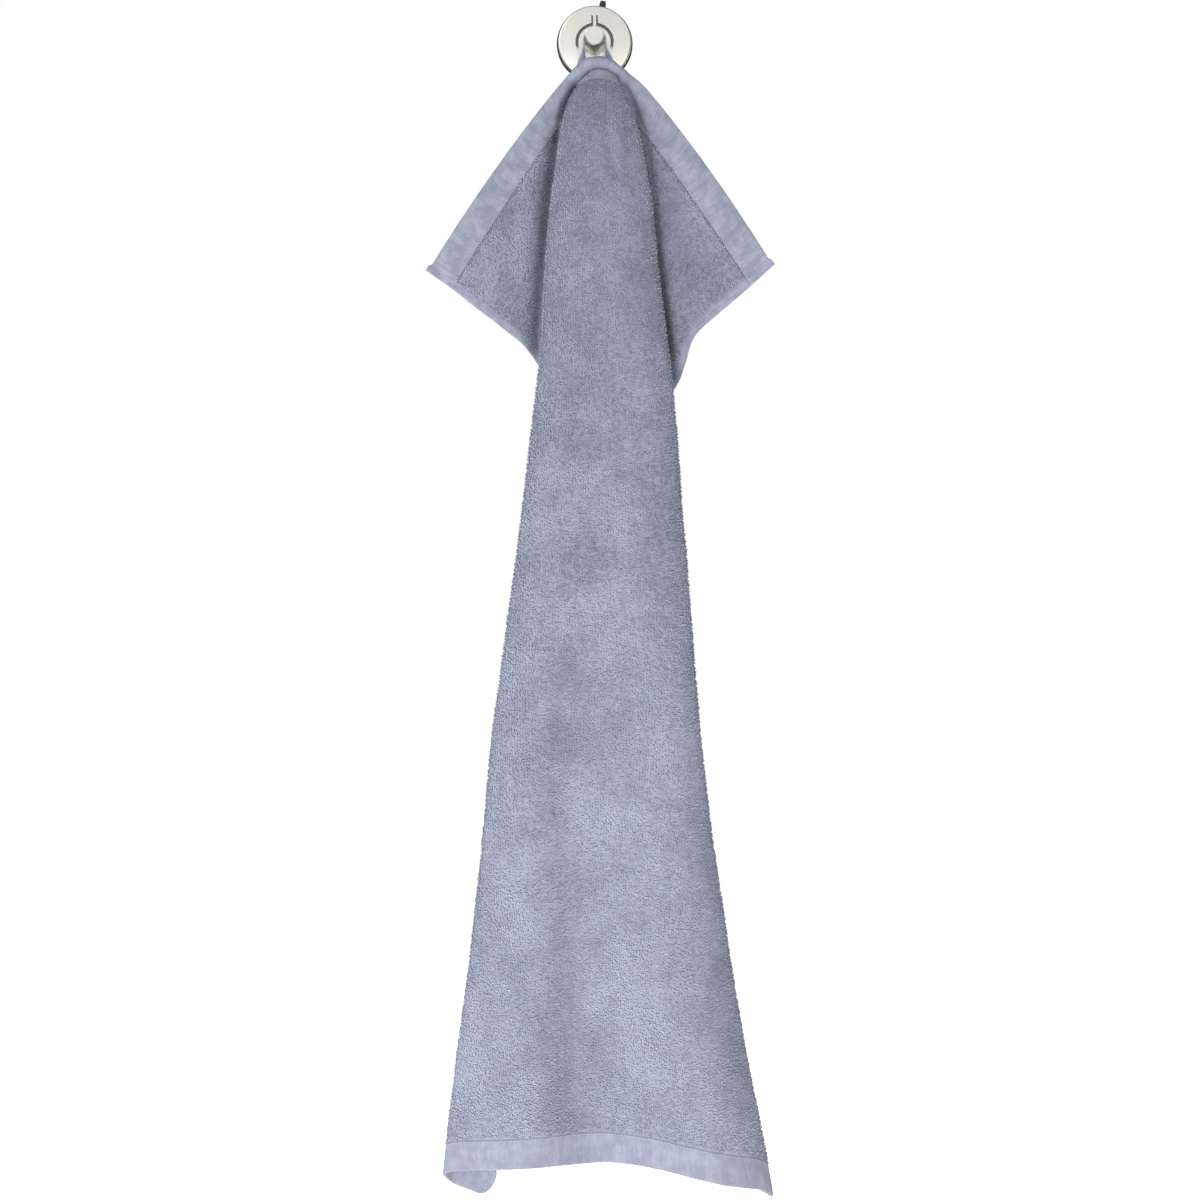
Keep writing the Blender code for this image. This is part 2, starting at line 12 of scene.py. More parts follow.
import bpy
import numpy as np
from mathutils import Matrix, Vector


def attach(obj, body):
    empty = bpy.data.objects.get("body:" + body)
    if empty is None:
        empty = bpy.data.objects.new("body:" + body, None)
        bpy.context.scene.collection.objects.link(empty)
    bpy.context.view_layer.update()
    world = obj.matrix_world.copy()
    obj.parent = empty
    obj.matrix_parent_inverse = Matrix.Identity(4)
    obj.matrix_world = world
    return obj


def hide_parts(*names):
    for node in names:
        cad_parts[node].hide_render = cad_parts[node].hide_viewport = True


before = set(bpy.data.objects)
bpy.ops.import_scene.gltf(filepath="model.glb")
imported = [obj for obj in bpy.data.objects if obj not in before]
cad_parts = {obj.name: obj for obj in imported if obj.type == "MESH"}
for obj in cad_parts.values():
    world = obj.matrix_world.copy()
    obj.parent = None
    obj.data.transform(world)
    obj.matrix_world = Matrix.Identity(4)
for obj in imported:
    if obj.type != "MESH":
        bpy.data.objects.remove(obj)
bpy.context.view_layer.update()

CM = 0.01
MM = 0.001

# %% [markdown]
# ## The camera
# A photograph of a hung towel is taken square on, from the height of its middle. The
# camera looks level along +y, and its lens is given by how many pixels a distance takes
# up, because that is how it was measured.

# %% Place the camera
PHOTO_PIXELS = 1200
FOCAL_PIXELS = 1815.0
SENSOR_MM = 36.0
CAMERA_PLACE = (0.0049, -1.675, -0.5126)

camera_data = bpy.data.cameras.new("camera")
camera_data.sensor_width = SENSOR_MM
camera_data.lens = FOCAL_PIXELS / PHOTO_PIXELS * SENSOR_MM
camera = bpy.data.objects.new("camera", camera_data)
camera.location = CAMERA_PLACE
camera.rotation_euler = (math.pi / 2, 0.0, 0.0)
bpy.context.scene.collection.objects.link(camera)
bpy.context.scene.camera = camera
print("lens", round(camera_data.lens, 2), "mm")

# %% [markdown]
# ## Putting arrays into a mesh
# Every piece below is worked out with numpy as one whole array of points. Blender takes
# such arrays in one call with foreach_set, which is hundreds of times quicker than adding
# points one by one. Faces come as arrays too: one array of quads, one of triangles.

# %% Mesh helpers
def quads_of(rows, columns, closed=False):
    """Four corners for each cell of a grid of points, down first and then across."""
    row = np.arange(rows - 1)[:, None]
    column = np.arange(columns if closed else columns - 1)[None, :]
    beside = (column + 1) % columns
    corners = [row * columns + column, (row + 1) * columns + column,
               (row + 1) * columns + beside, row * columns + beside]
    return np.stack(np.broadcast_arrays(*corners), axis=-1).reshape(-1, 4)


def make_piece(name, points, faces, look, maps=None):
    """A mesh object from an array of points and a list of face arrays. maps holds UV maps by point."""
    points = np.asarray(points, np.float32).reshape(-1, 3)
    mesh = bpy.data.meshes.new(name)
    corners = np.concatenate([np.asarray(f, np.int32).ravel() for f in faces])
    sides = np.concatenate([np.full(len(f), f.shape[1], np.int32) for f in faces])
    mesh.vertices.add(len(points))
    mesh.vertices.foreach_set("co", points.ravel())
    mesh.loops.add(len(corners))
    mesh.loops.foreach_set("vertex_index", corners)
    mesh.polygons.add(len(sides))
    mesh.polygons.foreach_set("loop_start", np.cumsum(sides, dtype=np.int32) - sides)
    mesh.polygons.foreach_set("use_smooth", np.full(len(sides), True))
    mesh.update(calc_edges=True)
    for map_name, places in (maps or {}).items():
        layer = mesh.uv_layers.new(name=map_name)
        layer.uv.foreach_set("vector", np.asarray(places, np.float32)[corners].ravel())
    mesh.materials.append(look)
    piece = bpy.data.objects.new(name, mesh)
    bpy.context.scene.collection.objects.link(piece)
    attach(piece, "root")
    print(name, len(points), "points", int((sides - 2).sum()), "triangles")
    return piece


# %% [markdown]
# ## Shader sums as Python
# A node tree is easier to read as a formula. Value wraps a socket, and each operator on it
# adds the Math node that works it out. Look holds a material's tree, with one method that
# adds any other node.

# %% Shader helpers
class Value:
    """A number that a socket gives: an operator on it adds a Math node."""

    def __init__(self, look, socket):
        self.look = look
        self.socket = socket

    def math(self, operation, *numbers):
        """The Math node of that operation, fed with these numbers or Values."""
        node = self.look.tree.nodes.new("ShaderNodeMath")
        node.operation = operation
        for socket, number in zip(node.inputs, numbers):
            self.look.feed(socket, number)
        return Value(self.look, node.outputs[0])

    def __add__(self, other):
        return self.math("ADD", self, other)

    def __radd__(self, other):
        return self.math("ADD", other, self)

    def __sub__(self, other):
        return self.math("SUBTRACT", self, other)

    def __rsub__(self, other):
        return self.math("SUBTRACT", other, self)

    def __mul__(self, other):
        return self.math("MULTIPLY", self, other)

    def __rmul__(self, other):
        return self.math("MULTIPLY", other, self)

    def __abs__(self):
        return self.math("ABSOLUTE", self)

    def sine(self):
        return self.math("SINE", self)

    def least(self, other):
        return self.math("MINIMUM", self, other)

    def most(self, other):
        return self.math("MAXIMUM", self, other)


class Look:
    """A material and its node tree."""

    def __init__(self, name, colour, roughness, metallic=0.0, **sockets):
        self.material = bpy.data.materials.new(name)
        self.material.use_nodes = True
        self.tree = self.material.node_tree
        self.shader = self.tree.nodes["Principled BSDF"]
        self.set("Base Color", (*colour, 1.0))
        self.set("Roughness", roughness)
        self.set("Metallic", metallic)
        for socket, value in sockets.items():
            self.set(socket.replace("_", " "), value)

    def feed(self, socket, value):
        """Links a Value to the socket, or sets a plain number or colour on it."""
        if isinstance(value, Value):
            self.tree.links.new(value.socket, socket)
        else:
            socket.default_value = value

    def set(self, name, value):
        self.feed(self.shader.inputs[name], value)

    def node(self, kind, settings=None, sockets=None, output=0):
        """Any node: its settings are set first, a ramp's stops among them, then its sockets."""
        made = self.tree.nodes.new("ShaderNode" + kind)
        for name, value in (settings or {}).items():
            setattr(made, name, value)
        for name, value in (sockets or {}).items():
            self.feed(made.inputs[name], value)
        return Value(self, made.outputs[output])

    def place(self, map_name=None):
        """Where a point is: on the piece's own map, or on the object."""
        if map_name:
            return self.node("UVMap", {"uv_map": map_name})
        return self.node("TexCoord", output="Object")

    def parts(self, vector):
        """The three numbers of a vector, each as a Value."""
        split = self.node("SeparateXYZ", sockets={"Vector": vector}).socket.node
        return [Value(self, split.outputs[k]) for k in range(3)]

    def noise(self, vector, size, detail=2.0, rough=0.5, stretch=(1, 1, 1)):
        """Cloudy noise whose blots are about size across, from 0 to 1."""
        where = self.node("Mapping", sockets={"Vector": vector, "Scale": stretch})
        return self.node("TexNoise", {"noise_dimensions": "3D"},
                         {"Vector": where, "Scale": 1 / size, "Detail": detail, "Roughness": rough})

    def ease(self, value, start, stop, low=0.0, high=1.0):
        """low before start, high after stop, and a soft step between."""
        return self.node("MapRange", {"interpolation_type": "SMOOTHSTEP"},
                         {"Value": value, "From Min": start, "From Max": stop,
                          "To Min": low, "To Max": high})

    def mix(self, share, first, second):
        """A colour between two colours."""
        node = self.tree.nodes.new("ShaderNodeMix")
        node.data_type = "RGBA"
        self.feed(node.inputs[0], share)
        self.feed(node.inputs[6], first)
        self.feed(node.inputs[7], second)
        return Value(self, node.outputs[2])

    def bump(self, height, depth):
        """A Bump node feeding the shader's normal: height from 0 to 1 stands for depth in metres."""
        self.set("Normal", self.node("Bump", sockets={"Height": height, "Distance": depth}))


# %% [markdown]
# ## The cloth's tables
# A hung towel is hard to draw but easy to measure. Go down it row by row: each row runs
# from one selvedge, in to a tuck, out to the front fold, over the front, and the same on
# the other side. These tables say where each of those lines hangs. They are the ones that
# the solid was made from, in centimetres, so the cloth drawn here lies on it.

# %% Tables of the hung cloth
TOWEL_WIDTH = 50.0
TOWEL_LENGTH = 100.0
HANG_ASIDE = 0.05
HANG_BELOW = -0.08
FOLD_ROUNDING = 0.45
ROW_SAMPLES = 240

Fold = namedtuple("Fold", "down x y z")
Tuck = namedtuple("Tuck", "down x y z radius")
Swell = namedtuple("Swell", "down height peak sag")
Flap = namedtuple("Flap", "down lift belly ruffle")

MIDDLE = (
    Fold(0.0, 0.26, -2.40, -1.79),
    Fold(0.55, 0.27, -2.85, -2.20),
    Fold(1.1, 0.30, -2.55, -2.72),
    Fold(1.9, 0.30, -2.75, -3.35),
    Fold(2.75, 0.28, -3.15, -4.05),
    Fold(5.0, 0.25, -4.25, -6.05),
    Fold(10.0, 0.20, -5.55, -10.90),
    Fold(20.0, 0.20, -6.60, -20.85),
    Fold(32.0, 0.20, -7.00, -32.85),
    Fold(45.0, 0.15, -6.90, -45.85),
    Fold(60.0, 0.05, -6.30, -60.90),
    Fold(80.0, 0.20, -5.60, -81.10),
    Fold(97.25, 0.40, -5.30, -98.75),
    Fold(100.0, 0.40, -5.30, -101.45),
)

LEFT_FOLD = (
    Fold(0.0, -1.10, -2.40, -2.00),
    Fold(0.55, -1.25, -2.80, -2.65),
    Fold(1.1, -1.45, -2.60, -3.60),
    Fold(1.9, -1.75, -2.65, -4.70),
    Fold(2.75, -2.10, -2.80, -5.60),
    Fold(5.0, -2.75, -3.40, -7.90),
    Fold(10.0, -3.45, -4.10, -12.60),
    Fold(20.0, -4.35, -4.60, -21.90),
    Fold(30.0, -5.20, -4.80, -31.80),
    Fold(45.0, -7.00, -4.90, -46.60),
    Fold(60.0, -9.05, -5.00, -61.50),
    Fold(80.0, -11.20, -5.00, -81.40),
    Fold(97.25, -13.40, -5.00, -99.95),
    Fold(100.0, -13.65, -5.00, -102.65),
)

LEFT_TUCK = (
    Tuck(0.0, -3.06, -2.30, -4.08, 0.0),
    Tuck(0.55, -2.85, -2.35, -4.70, 0.0),
    Tuck(1.1, -2.60, -2.25, -5.35, 0.0),
    Tuck(1.9, -2.35, -2.00, -7.20, 0.1),
    Tuck(2.75, -2.10, -1.85, -9.00, 0.2),
    Tuck(5.0, -1.45, -1.75, -12.20, 0.35),
    Tuck(10.0, -1.15, -1.80, -19.20, 0.4),
    Tuck(20.0, -1.00, -2.20, -29.00, 0.4),
    Tuck(30.0, -0.95, -2.60, -37.60, 0.4),
    Tuck(45.0, -1.10, -2.80, -50.60, 0.4),
    Tuck(60.0, -2.50, -2.80, -64.60, 0.4),
    Tuck(70.0, -4.60, -2.90, -74.20, 0.4),
    Tuck(79.0, -7.00, -3.10, -82.90, 0.35),
    Tuck(85.0, -9.00, -3.20, -88.80, 0.15),
    Tuck(91.0, -11.20, -3.00, -94.80, 0.0),
    Tuck(97.25, -12.80, -2.50, -101.30, 0.0),
    Tuck(100.0, -13.10, -2.50, -104.15, 0.0),
)

LEFT_SELVEDGE = (
    Fold(0.0, -15.27, -2.20, -21.30),
    Fold(2.68, -13.06, -2.10, -22.81),
    Fold(4.9, -11.32, -2.05, -24.21),
    Fold(7.2, -9.46, -2.00, -25.60),
    Fold(9.3, -7.83, -2.00, -26.88),
    Fold(10.8, -6.67, -2.00, -27.81),
    Fold(13.3, -5.02, -2.00, -29.90),
    Fold(17.0, -3.70, -1.80, -33.20),
    Fold(21.4, -3.60, -1.50, -37.00),
    Fold(30.0, -5.00, -1.60, -44.30),
    Fold(50.0, -7.10, -1.80, -61.60),
    Fold(70.0, -8.90, -1.90, -79.20),
    Fold(85.0, -9.50, -2.00, -92.40),
    Fold(97.9, -8.95, -2.20, -103.35),
    Fold(100.0, -9.85, -2.20, -105.50),
)

RIGHT_FOLD = (
    Fold(0.0, 1.50, -2.40, -2.15),
    Fold(0.55, 1.65, -2.80, -2.70),
    Fold(1.1, 1.90, -2.60, -3.50),
    Fold(1.9, 2.30, -2.65, -4.50),
    Fold(2.75, 2.75, -2.85, -5.60),
    Fold(5.0, 3.60, -3.40, -7.90),
    Fold(10.0, 4.55, -4.10, -12.80),
    Fold(20.0, 5.75, -4.60, -22.60),
    Fold(30.0, 7.05, -4.80, -32.40),
    Fold(45.0, 8.15, -4.90, -47.70),
    Fold(60.0, 9.50, -5.00, -63.00),
    Fold(80.0, 12.20, -5.00, -83.60),
    Fold(97.25, 15.40, -5.00, -101.90),
    Fold(100.0, 15.85, -5.00, -104.80),
)

RIGHT_TUCK = (
    Tuck(0.0, 4.25, -2.30, -4.15, 0.0),
    Tuck(0.55, 3.85, -2.35, -4.75, 0.0),
    Tuck(1.1, 3.40, -2.25, -5.40, 0.0),
    Tuck(1.9, 3.00, -2.00, -6.90, 0.1),
    Tuck(2.75, 2.60, -1.85, -8.60, 0.2),
    Tuck(5.0, 2.05, -1.75, -11.90, 0.35),
    Tuck(10.0, 1.50, -1.80, -18.20, 0.4),
    Tuck(20.0, 1.30, -2.20, -28.60, 0.4),
    Tuck(30.0, 1.25, -2.60, -37.90, 0.4),
    Tuck(45.0, 1.50, -2.80, -51.60, 0.4),
    Tuck(60.0, 3.20, -2.80, -66.00, 0.4),
    Tuck(70.0, 5.60, -2.90, -75.60, 0.4),
    Tuck(79.0, 8.30, -3.10, -84.30, 0.35),
    Tuck(85.0, 10.70, -3.20, -90.20, 0.15),
    Tuck(91.0, 13.00, -3.00, -96.20, 0.0),
    Tuck(97.25, 14.70, -2.50, -102.30, 0.0),
    Tuck(100.0, 15.10, -2.50, -104.90, 0.0),
)

RIGHT_SELVEDGE = (
    Fold(0.0, 16.20, -2.20, -20.75),
    Fold(1.17, 15.33, -2.15, -21.53),
    Fold(3.97, 13.24, -2.05, -23.40),
    Fold(7.03, 10.91, -2.05, -25.38),
    Fold(9.24, 9.29, -2.15, -26.88),
    Fold(10.8, 8.50, -2.25, -28.20),
    Fold(13.6, 7.80, -2.30, -30.94),
    Fold(15.4, 6.95, -2.20, -32.50),
    Fold(18.0, 5.90, -1.90, -34.70),
    Fold(22.0, 5.20, -1.50, -38.40),
    Fold(30.0, 6.00, -1.60, -45.40),
    Fold(50.0, 7.80, -1.80, -62.40),
    Fold(70.0, 9.90, -1.90, -79.40),
    Fold(85.0, 11.30, -2.00, -92.00),
    Fold(100.0, 12.00, -2.20, -103.90),
)

LEFT_SWELL = (
    Swell(0.0, 0.0, 0.60, 0.0),
    Swell(30.0, 0.0, 0.66, 0.0),
    Swell(45.0, 0.5, 0.66, 0.0),
    Swell(60.0, 1.2, 0.64, 0.0),
    Swell(80.0, 1.9, 0.57, 0.0),
    Swell(100.0, 2.3, 0.53, -0.25),
)

RIGHT_SWELL = (
    Swell(0.0, 0.0, 0.60, 0.0),
    Swell(30.0, 0.0, 0.72, 0.0),
    Swell(45.0, 0.5, 0.72, 0.0),
    Swell(60.0, 1.2, 0.72, 0.0),
    Swell(80.0, 1.9, 0.64, 0.0),
    Swell(100.0, 2.3, 0.68, 0.35),
)

LOWER_FLAP = (
    Flap(25.0, 0.0, 0.0, 0.6),
    Flap(50.0, 0.0, 0.0, 0.8),
    Flap(90.0, 0.0, 0.0, 0.7),
    Flap(100.0, 0.0, 0.0, 0.3),
)

LEFT_FLAP = (
    Flap(0.0, 0.60, -0.10, 0.0),
    Flap(5.0, 0.40, -0.20, 0.0),
    Flap(15.0, 0.0, 0.0, 0.0),
    *LOWER_FLAP,
)

RIGHT_FLAP = (
    Flap(0.0, 0.65, -0.10, 0.0),
    Flap(5.0, 0.45, -0.60, 0.0),
    Flap(10.0, 0.10, -0.90, 0.0),
    Flap(18.0, 0.0, 0.0, 0.0),
    *LOWER_FLAP,
)
RUFFLE_LENGTH = 17.0
RUFFLE_DRIFT = 0.9
RUFFLE_DRIFT_LENGTH = 41.0

Side = namedtuple("Side", "fold tuck selvedge swell flap phase inward")
LEFT = Side(LEFT_FOLD, LEFT_TUCK, LEFT_SELVEDGE, LEFT_SWELL, LEFT_FLAP, 0.6, 1.0)
RIGHT = Side(RIGHT_FOLD, RIGHT_TUCK, RIGHT_SELVEDGE, RIGHT_SWELL, RIGHT_FLAP, 3.1, -1.0)

# %% [markdown]
# ## From tables to a surface
# Between two rows of a table the cloth bends smoothly and never bulges past them, so the
# tables are read with a monotone cubic. Each row of the cloth is then drawn as four runs
# that join: a quarter ellipse over the front, a straight run back to the tuck, a half turn,
# and the flap. A blur along the row rounds every fold as thick terry does.

# %% Reading a table
def monotone(down, knots, values):
    """A smooth curve through the knots that never overshoots them: cubic, with harmonic-mean slopes."""
    knots = np.asarray(knots, float)
    values = np.asarray(values, float)
    gap = np.diff(knots)
    rise = np.diff(values) / gap
    slope = np.empty_like(values)
    same = rise[:-1] * rise[1:] > 0
    safe = np.where(same, rise[:-1] * rise[1:], 1.0)
    blend = (2 * gap[1:] + gap[:-1]) * rise[1:] + (gap[1:] + 2 * gap[:-1]) * rise[:-1]
    total = 3 * (gap[1:] + gap[:-1])
    slope[1:-1] = np.where(same, total * safe / np.where(same, blend, 1.0), 0.0)
    slope[0], slope[-1] = rise[0], rise[-1]
    at = np.clip(np.searchsorted(knots, down, side="right") - 1, 0, len(gap) - 1)
    u = (down - knots[at]) / gap[at]
    start = values[at] * (1 + 2 * u) * (1 - u) ** 2 + values[at + 1] * u * u * (3 - 2 * u)
    return start + gap[at] * (slope[at] * u * (1 - u) ** 2 - slope[at + 1] * u * u * (1 - u))


def column(table, name, down):
    """One named column of a table, read at every row of the cloth, as a column of numbers."""
    knots = [row.down for row in table]
    values = [getattr(row, name) for row in table]
    return monotone(down, knots, values)[:, None]


def place_of(table, down):
    """The line that a table gives, a little aside and below it, where the cloth hangs on the tape."""
    across, out, up = (column(table, name, down) for name in ("x", "y", "z"))
    return [across + HANG_ASIDE, out, up + HANG_BELOW]


# %% One row of the cloth
# The front fold is the last point of the first run, and the tuck is the middle of the third.
FOLD_SAMPLE = ROW_SAMPLES - 1
TUCK_SAMPLE = 5 * (ROW_SAMPLES - 1) // 2


def half_rows(side, down):
    """Half of each row: a quarter ellipse from the middle to the fold with its swell on it, a line
    back to the tuck, a half turn there, and the flap out to the selvedge with its ruffles."""
    u = np.linspace(0.0, 1.0, ROW_SAMPLES)[None, :]
    middle, fold = place_of(MIDDLE, down), place_of(side.fold, down)
    tuck, edge = place_of(side.tuck, down), place_of(side.selvedge, down)
    turn = u * math.pi / 2
    across, fall = np.sin(turn), 1 - np.cos(turn)
    peak = column(side.swell, "peak", down)
    bulge = np.sin(math.pi * across ** (np.log(0.5) / np.log(peak)))
    swell, sag = (column(side.swell, name, down) * bulge for name in ("height", "sag"))
    front = (
        middle[0] + (fold[0] - middle[0]) * across,
        middle[1] + (fold[1] - middle[1]) * fall - swell,
        middle[2] + (fold[2] - middle[2]) * fall - sag,
    )
    radius = column(side.tuck, "radius", down)
    near = [tuck[0], tuck[1] - radius, tuck[2]]
    far = [tuck[0], tuck[1] + radius, tuck[2]]
    back = [a + (b - a) * u for a, b in zip(fold, near)]
    bend = [
        tuck[0] + side.inward * radius * np.sin(2 * turn),
        tuck[1] - radius * np.cos(2 * turn),
        tuck[2] + 0 * turn,
    ]
    hump = 4 * u * (1 - u)
    drift = RUFFLE_DRIFT * np.sin(2 * math.pi * down[:, None] / RUFFLE_DRIFT_LENGTH + side.phase)
    wave = np.sin(2 * math.pi * down[:, None] / RUFFLE_LENGTH + side.phase + drift)
    flap = [a + (b - a) * u for a, b in zip(far, edge)]
    flap[1] = flap[1] + column(side.flap, "belly", down) * hump
    flap[1] = flap[1] + column(side.flap, "ruffle", down) * wave * u * u
    flap[2] = flap[2] + column(side.flap, "lift", down) * hump
    runs = zip(front, back, bend, flap)
    parts = [np.concatenate([f, b[:, 1:], m[:, 1:], e[:, 1:]], axis=1) for f, b, m, e in runs]
    return np.stack(parts, axis=2)


def even_rows(rows):
    """The same rows with their points spread evenly along them, and how far along the fold and the
    tuck fall: each point is read where its share of the row's length lies."""
    step = np.linalg.norm(np.diff(rows, axis=1), axis=2)
    reach = np.concatenate([np.zeros((len(rows), 1)), np.cumsum(step, axis=1)], axis=1)
    share = reach / reach[:, -1:]
    wanted = np.linspace(0.0, 1.0, ROW_SAMPLES + 1)
    spread = [[np.interp(wanted, s, row[:, k]) for k in range(3)] for s, row in zip(share, rows)]
    turns = share[:, [FOLD_SAMPLE, TUCK_SAMPLE]] * TOWEL_WIDTH / 2
    return np.transpose(np.array(spread), (0, 2, 1)), turns


def rounded(rows):
    """Each row smoothed along itself with a bell-shaped weight, its two ends kept where they are."""
    step = TOWEL_WIDTH / 2 / ROW_SAMPLES
    reach = int(4 * FOLD_ROUNDING / step)
    weight = np.exp(-0.5 * (np.arange(-reach, reach + 1) * step / FOLD_ROUNDING) ** 2)
    weight /= weight.sum()
    head = 2 * rows[:, :1] - rows[:, reach:0:-1]
    tail = 2 * rows[:, -1:] - rows[:, -2 : -reach - 2 : -1]
    padded = np.concatenate([head, rows, tail], axis=1)
    return sum(w * padded[:, k : k + rows.shape[1]] for k, w in enumerate(weight))


def hung_cloth(down):
    """The cloth's middle surface, a row of points for each distance down, selvedge to selvedge,
    and how far from the middle its folds and tucks lie on each side."""
    (left, left_turns), (right, right_turns) = (
        even_rows(half_rows(side, down)) for side in (LEFT, RIGHT))
    rows = rounded(np.concatenate([left[:, ::-1], right[:, 1:]], axis=1))
    return rows, left_turns, right_turns


# %% [markdown]
# ## Soft noise
# Real cloth is never quite smooth. A coarse net of random heights, eased between its knots,
# gives slow rises and hollows. The same net is used again to say which way the pile leans.

# %% Noise on the cloth
NOISE_KNOTS = 256
NOISE_START = 8.0


def soft_noise(down, across, length, seed):
    """Random heights from -1 to 1 on a square net of that spacing, eased from knot to knot."""
    net = np.random.default_rng(seed).uniform(-1.0, 1.0, (NOISE_KNOTS, NOISE_KNOTS))
    x, y = down / length + NOISE_START, (across + TOWEL_WIDTH) / length + NOISE_START
    i, j = np.floor(x).astype(int), np.floor(y).astype(int)
    f, g = x - i, y - j
    f, g = f * f * (3 - 2 * f), g * g * (3 - 2 * g)
    i, j = i % (NOISE_KNOTS - 1), j % (NOISE_KNOTS - 1)
    low = net[i, j] * (1 - g) + net[i, j + 1] * g
    high = net[i + 1, j] * (1 - g) + net[i + 1, j + 1] * g
    return low * (1 - f) + high * f


def step_up(value, start, stop):
    """0 before start and 1 after stop, with a soft step between."""
    u = np.clip((value - start) / (stop - start), 0.0, 1.0)
    return u * u * (3 - 2 * u)


def bell(value, middle, width):
    """1 at the middle, falling away on both sides as a bell curve."""
    return np.exp(-0.5 * ((value - middle) / width) ** 2)


# %% [markdown]
# ## Creases
# The tables give the big folds. The small ones that catch the eye are listed one by one: each is
# a path in centimetres, seen from the front, with the width and height of a soft ridge along
# it. A height below zero makes it a trough. A crease belongs to one layer of the cloth.
# Where a pleat laps over the front, a narrow gap in shade shows between two layers. The sheet has one
# skin there, so that shade is painted into its colour as a dark line, along a path of the same kind.

# %% Table of creases
Crease = namedtuple("Crease", "layer width height path")
CREASES = (
    Crease("hem", 0.12, -0.42, ((-2.0, -4.9), (-1.75, -4.3), (-1.05, -3.65), (-0.35, -3.05),
                                (0.35, -2.85), (1.2, -3.05), (2.1, -3.6), (2.5, -4.6))),
    Crease("hem", 0.20, -0.25, ((-1.85, -4.5), (-2.45, -5.8), (-2.95, -7.3), (-3.35, -9.0))),
    Crease("hem", 0.22, 0.22, ((-1.9, -3.7), (-1.5, -3.3), (-0.6, -2.6), (0.3, -2.35),
                               (1.4, -2.55), (2.5, -3.4))),
    Crease("left wing", 0.55, -1.00, ((-3.2, -9.2), (-3.9, -14.8), (-4.4, -20.3),
                                      (-4.8, -24.0), (-5.3, -30.0))),
    Crease("left wing", 0.70, 0.30, ((-4.9, -10.5), (-5.9, -15.5), (-6.4, -21.0))),
    Crease("right wing", 0.75, 0.60, ((4.2, -9.0), (5.3, -13.0), (6.3, -18.5),
                                      (7.2, -24.5), (7.8, -29.0))),
    Crease("right wing", 0.16, -0.45, ((3.2, -7.0), (4.3, -12.0), (5.2, -18.0),
                                       (6.1, -24.0), (7.1, -31.0))),
    Crease("right wing", 0.90, -0.25, ((8.3, -16.5), (9.6, -20.0), (10.2, -22.5))),
    Crease("front", 0.32, -0.18, ((0.6, -6.4), (0.9, -8.2), (1.3, -10.2), (1.5, -13.0))),
    Crease("front", 0.55, 0.14, ((-1.1, -8.0), (-1.6, -11.5), (-2.0, -16.0), (-2.4, -24.0))),
    Crease("front", 0.60, -0.14, ((0.2, -17.0), (1.2, -24.0), (1.8, -33.0))),
    Crease("front", 0.10, -0.07, ((-0.5, -4.9), (-0.6, -7.2))),
    Crease("front", 0.10, -0.07, ((0.0, -4.7), (0.0, -8.0))),
    Crease("front", 0.10, -0.08, ((0.5, -4.7), (0.6, -7.6))),
    Crease("front", 0.10, -0.08, ((1.1, -4.8), (1.3, -8.3))),
    Crease("front", 0.10, -0.07, ((1.6, -5.0), (2.0, -7.8))),
    Crease("front", 1.30, -0.42, ((-2.6, -62.0), (-2.2, -76.0), (-1.9, -92.0), (-1.4, -99.0))),
    Crease("front", 0.80, 0.18, ((2.0, -70.0), (3.0, -84.0), (3.6, -96.0))),
    Crease("front", 0.22, -0.08, ((-7.9, -99.6), (-8.0, -102.4))),
    Crease("front", 0.20, -0.07, ((-3.6, -98.9), (-3.7, -101.3))),
    Crease("front", 0.25, -0.07, ((-2.7, -98.4), (-2.8, -101.4))),
    Crease("front", 0.22, -0.06, ((5.9, -99.8), (6.1, -102.2))),
    Crease("front", 0.25, -0.07, ((9.6, -101.3), (9.9, -103.6))),
)

# Painted shade along the gaps: a line's width, how dark it is, and its path.
PaintedGapShade = namedtuple("PaintedGapShade", "width shade path")
PAINTED_GAP_SHADES = (
    PaintedGapShade(0.10, 0.45, ((-0.5, -3.15), (-1.18, -3.90), (-1.55, -4.4))),
    PaintedGapShade(0.26, 0.98, ((-1.80, -4.5), (-2.18, -4.95), (-2.42, -5.35), (-2.72, -5.92),
                     (-3.04, -6.77), (-3.28, -7.4))),
    PaintedGapShade(0.18, 0.80, ((-3.28, -7.4), (-3.58, -8.4), (-3.80, -9.4))),
    PaintedGapShade(0.24, 0.30, ((-3.80, -9.4), (-4.70, -14.8), (-5.07, -20.3), (-5.34, -24.8),
                     (-5.52, -28.9))),
    PaintedGapShade(0.16, 0.60, ((2.85, -4.4), (3.47, -5.5), (4.03, -6.8), (4.60, -8.6))),
    PaintedGapShade(0.15, 0.40, ((4.65, -8.8), (5.56, -13.6), (6.20, -20.9), (6.65, -24.8), (7.10, -28.5))),
)


def reach_to(path, x, z):
    """The distance from each point to the nearest place on a path, seen from the front."""
    reach = np.full_like(x, np.inf)
    for (x0, z0), (x1, z1) in zip(path[:-1], path[1:]):
        run, rise = x1 - x0, z1 - z0
        at = np.clip(((x - x0) * run + (z - z0) * rise) / (run * run + rise * rise), 0.0, 1.0)
        reach = np.minimum(reach, np.hypot(x - x0 - at * run, z - z0 - at * rise))
    return reach


def crease_heights(rows, layers):
    """Each crease's height times a bell curve of the distance to its path, on its own layer."""
    x, z = rows[:, :, 0], rows[:, :, 2]
    return sum(c.height * bell(reach_to(c.path, x, z), 0.0, c.width) * layers[c.layer]
               for c in CREASES)


def painted_gap_shade_map(point, back):
    """How much painted shade each point takes from the gaps, from 0 to 1, as a map; the back of the cloth
    has none.
    """
    x, z = point[..., 0].ravel() / CM, point[..., 2].ravel() / CM
    shade = [g.shade * bell(reach_to(g.path, x, z), 0.0, g.width) for g in PAINTED_GAP_SHADES]
    dark = np.max(shade, axis=0) * (not back)
    return np.stack([dark, dark], axis=-1)


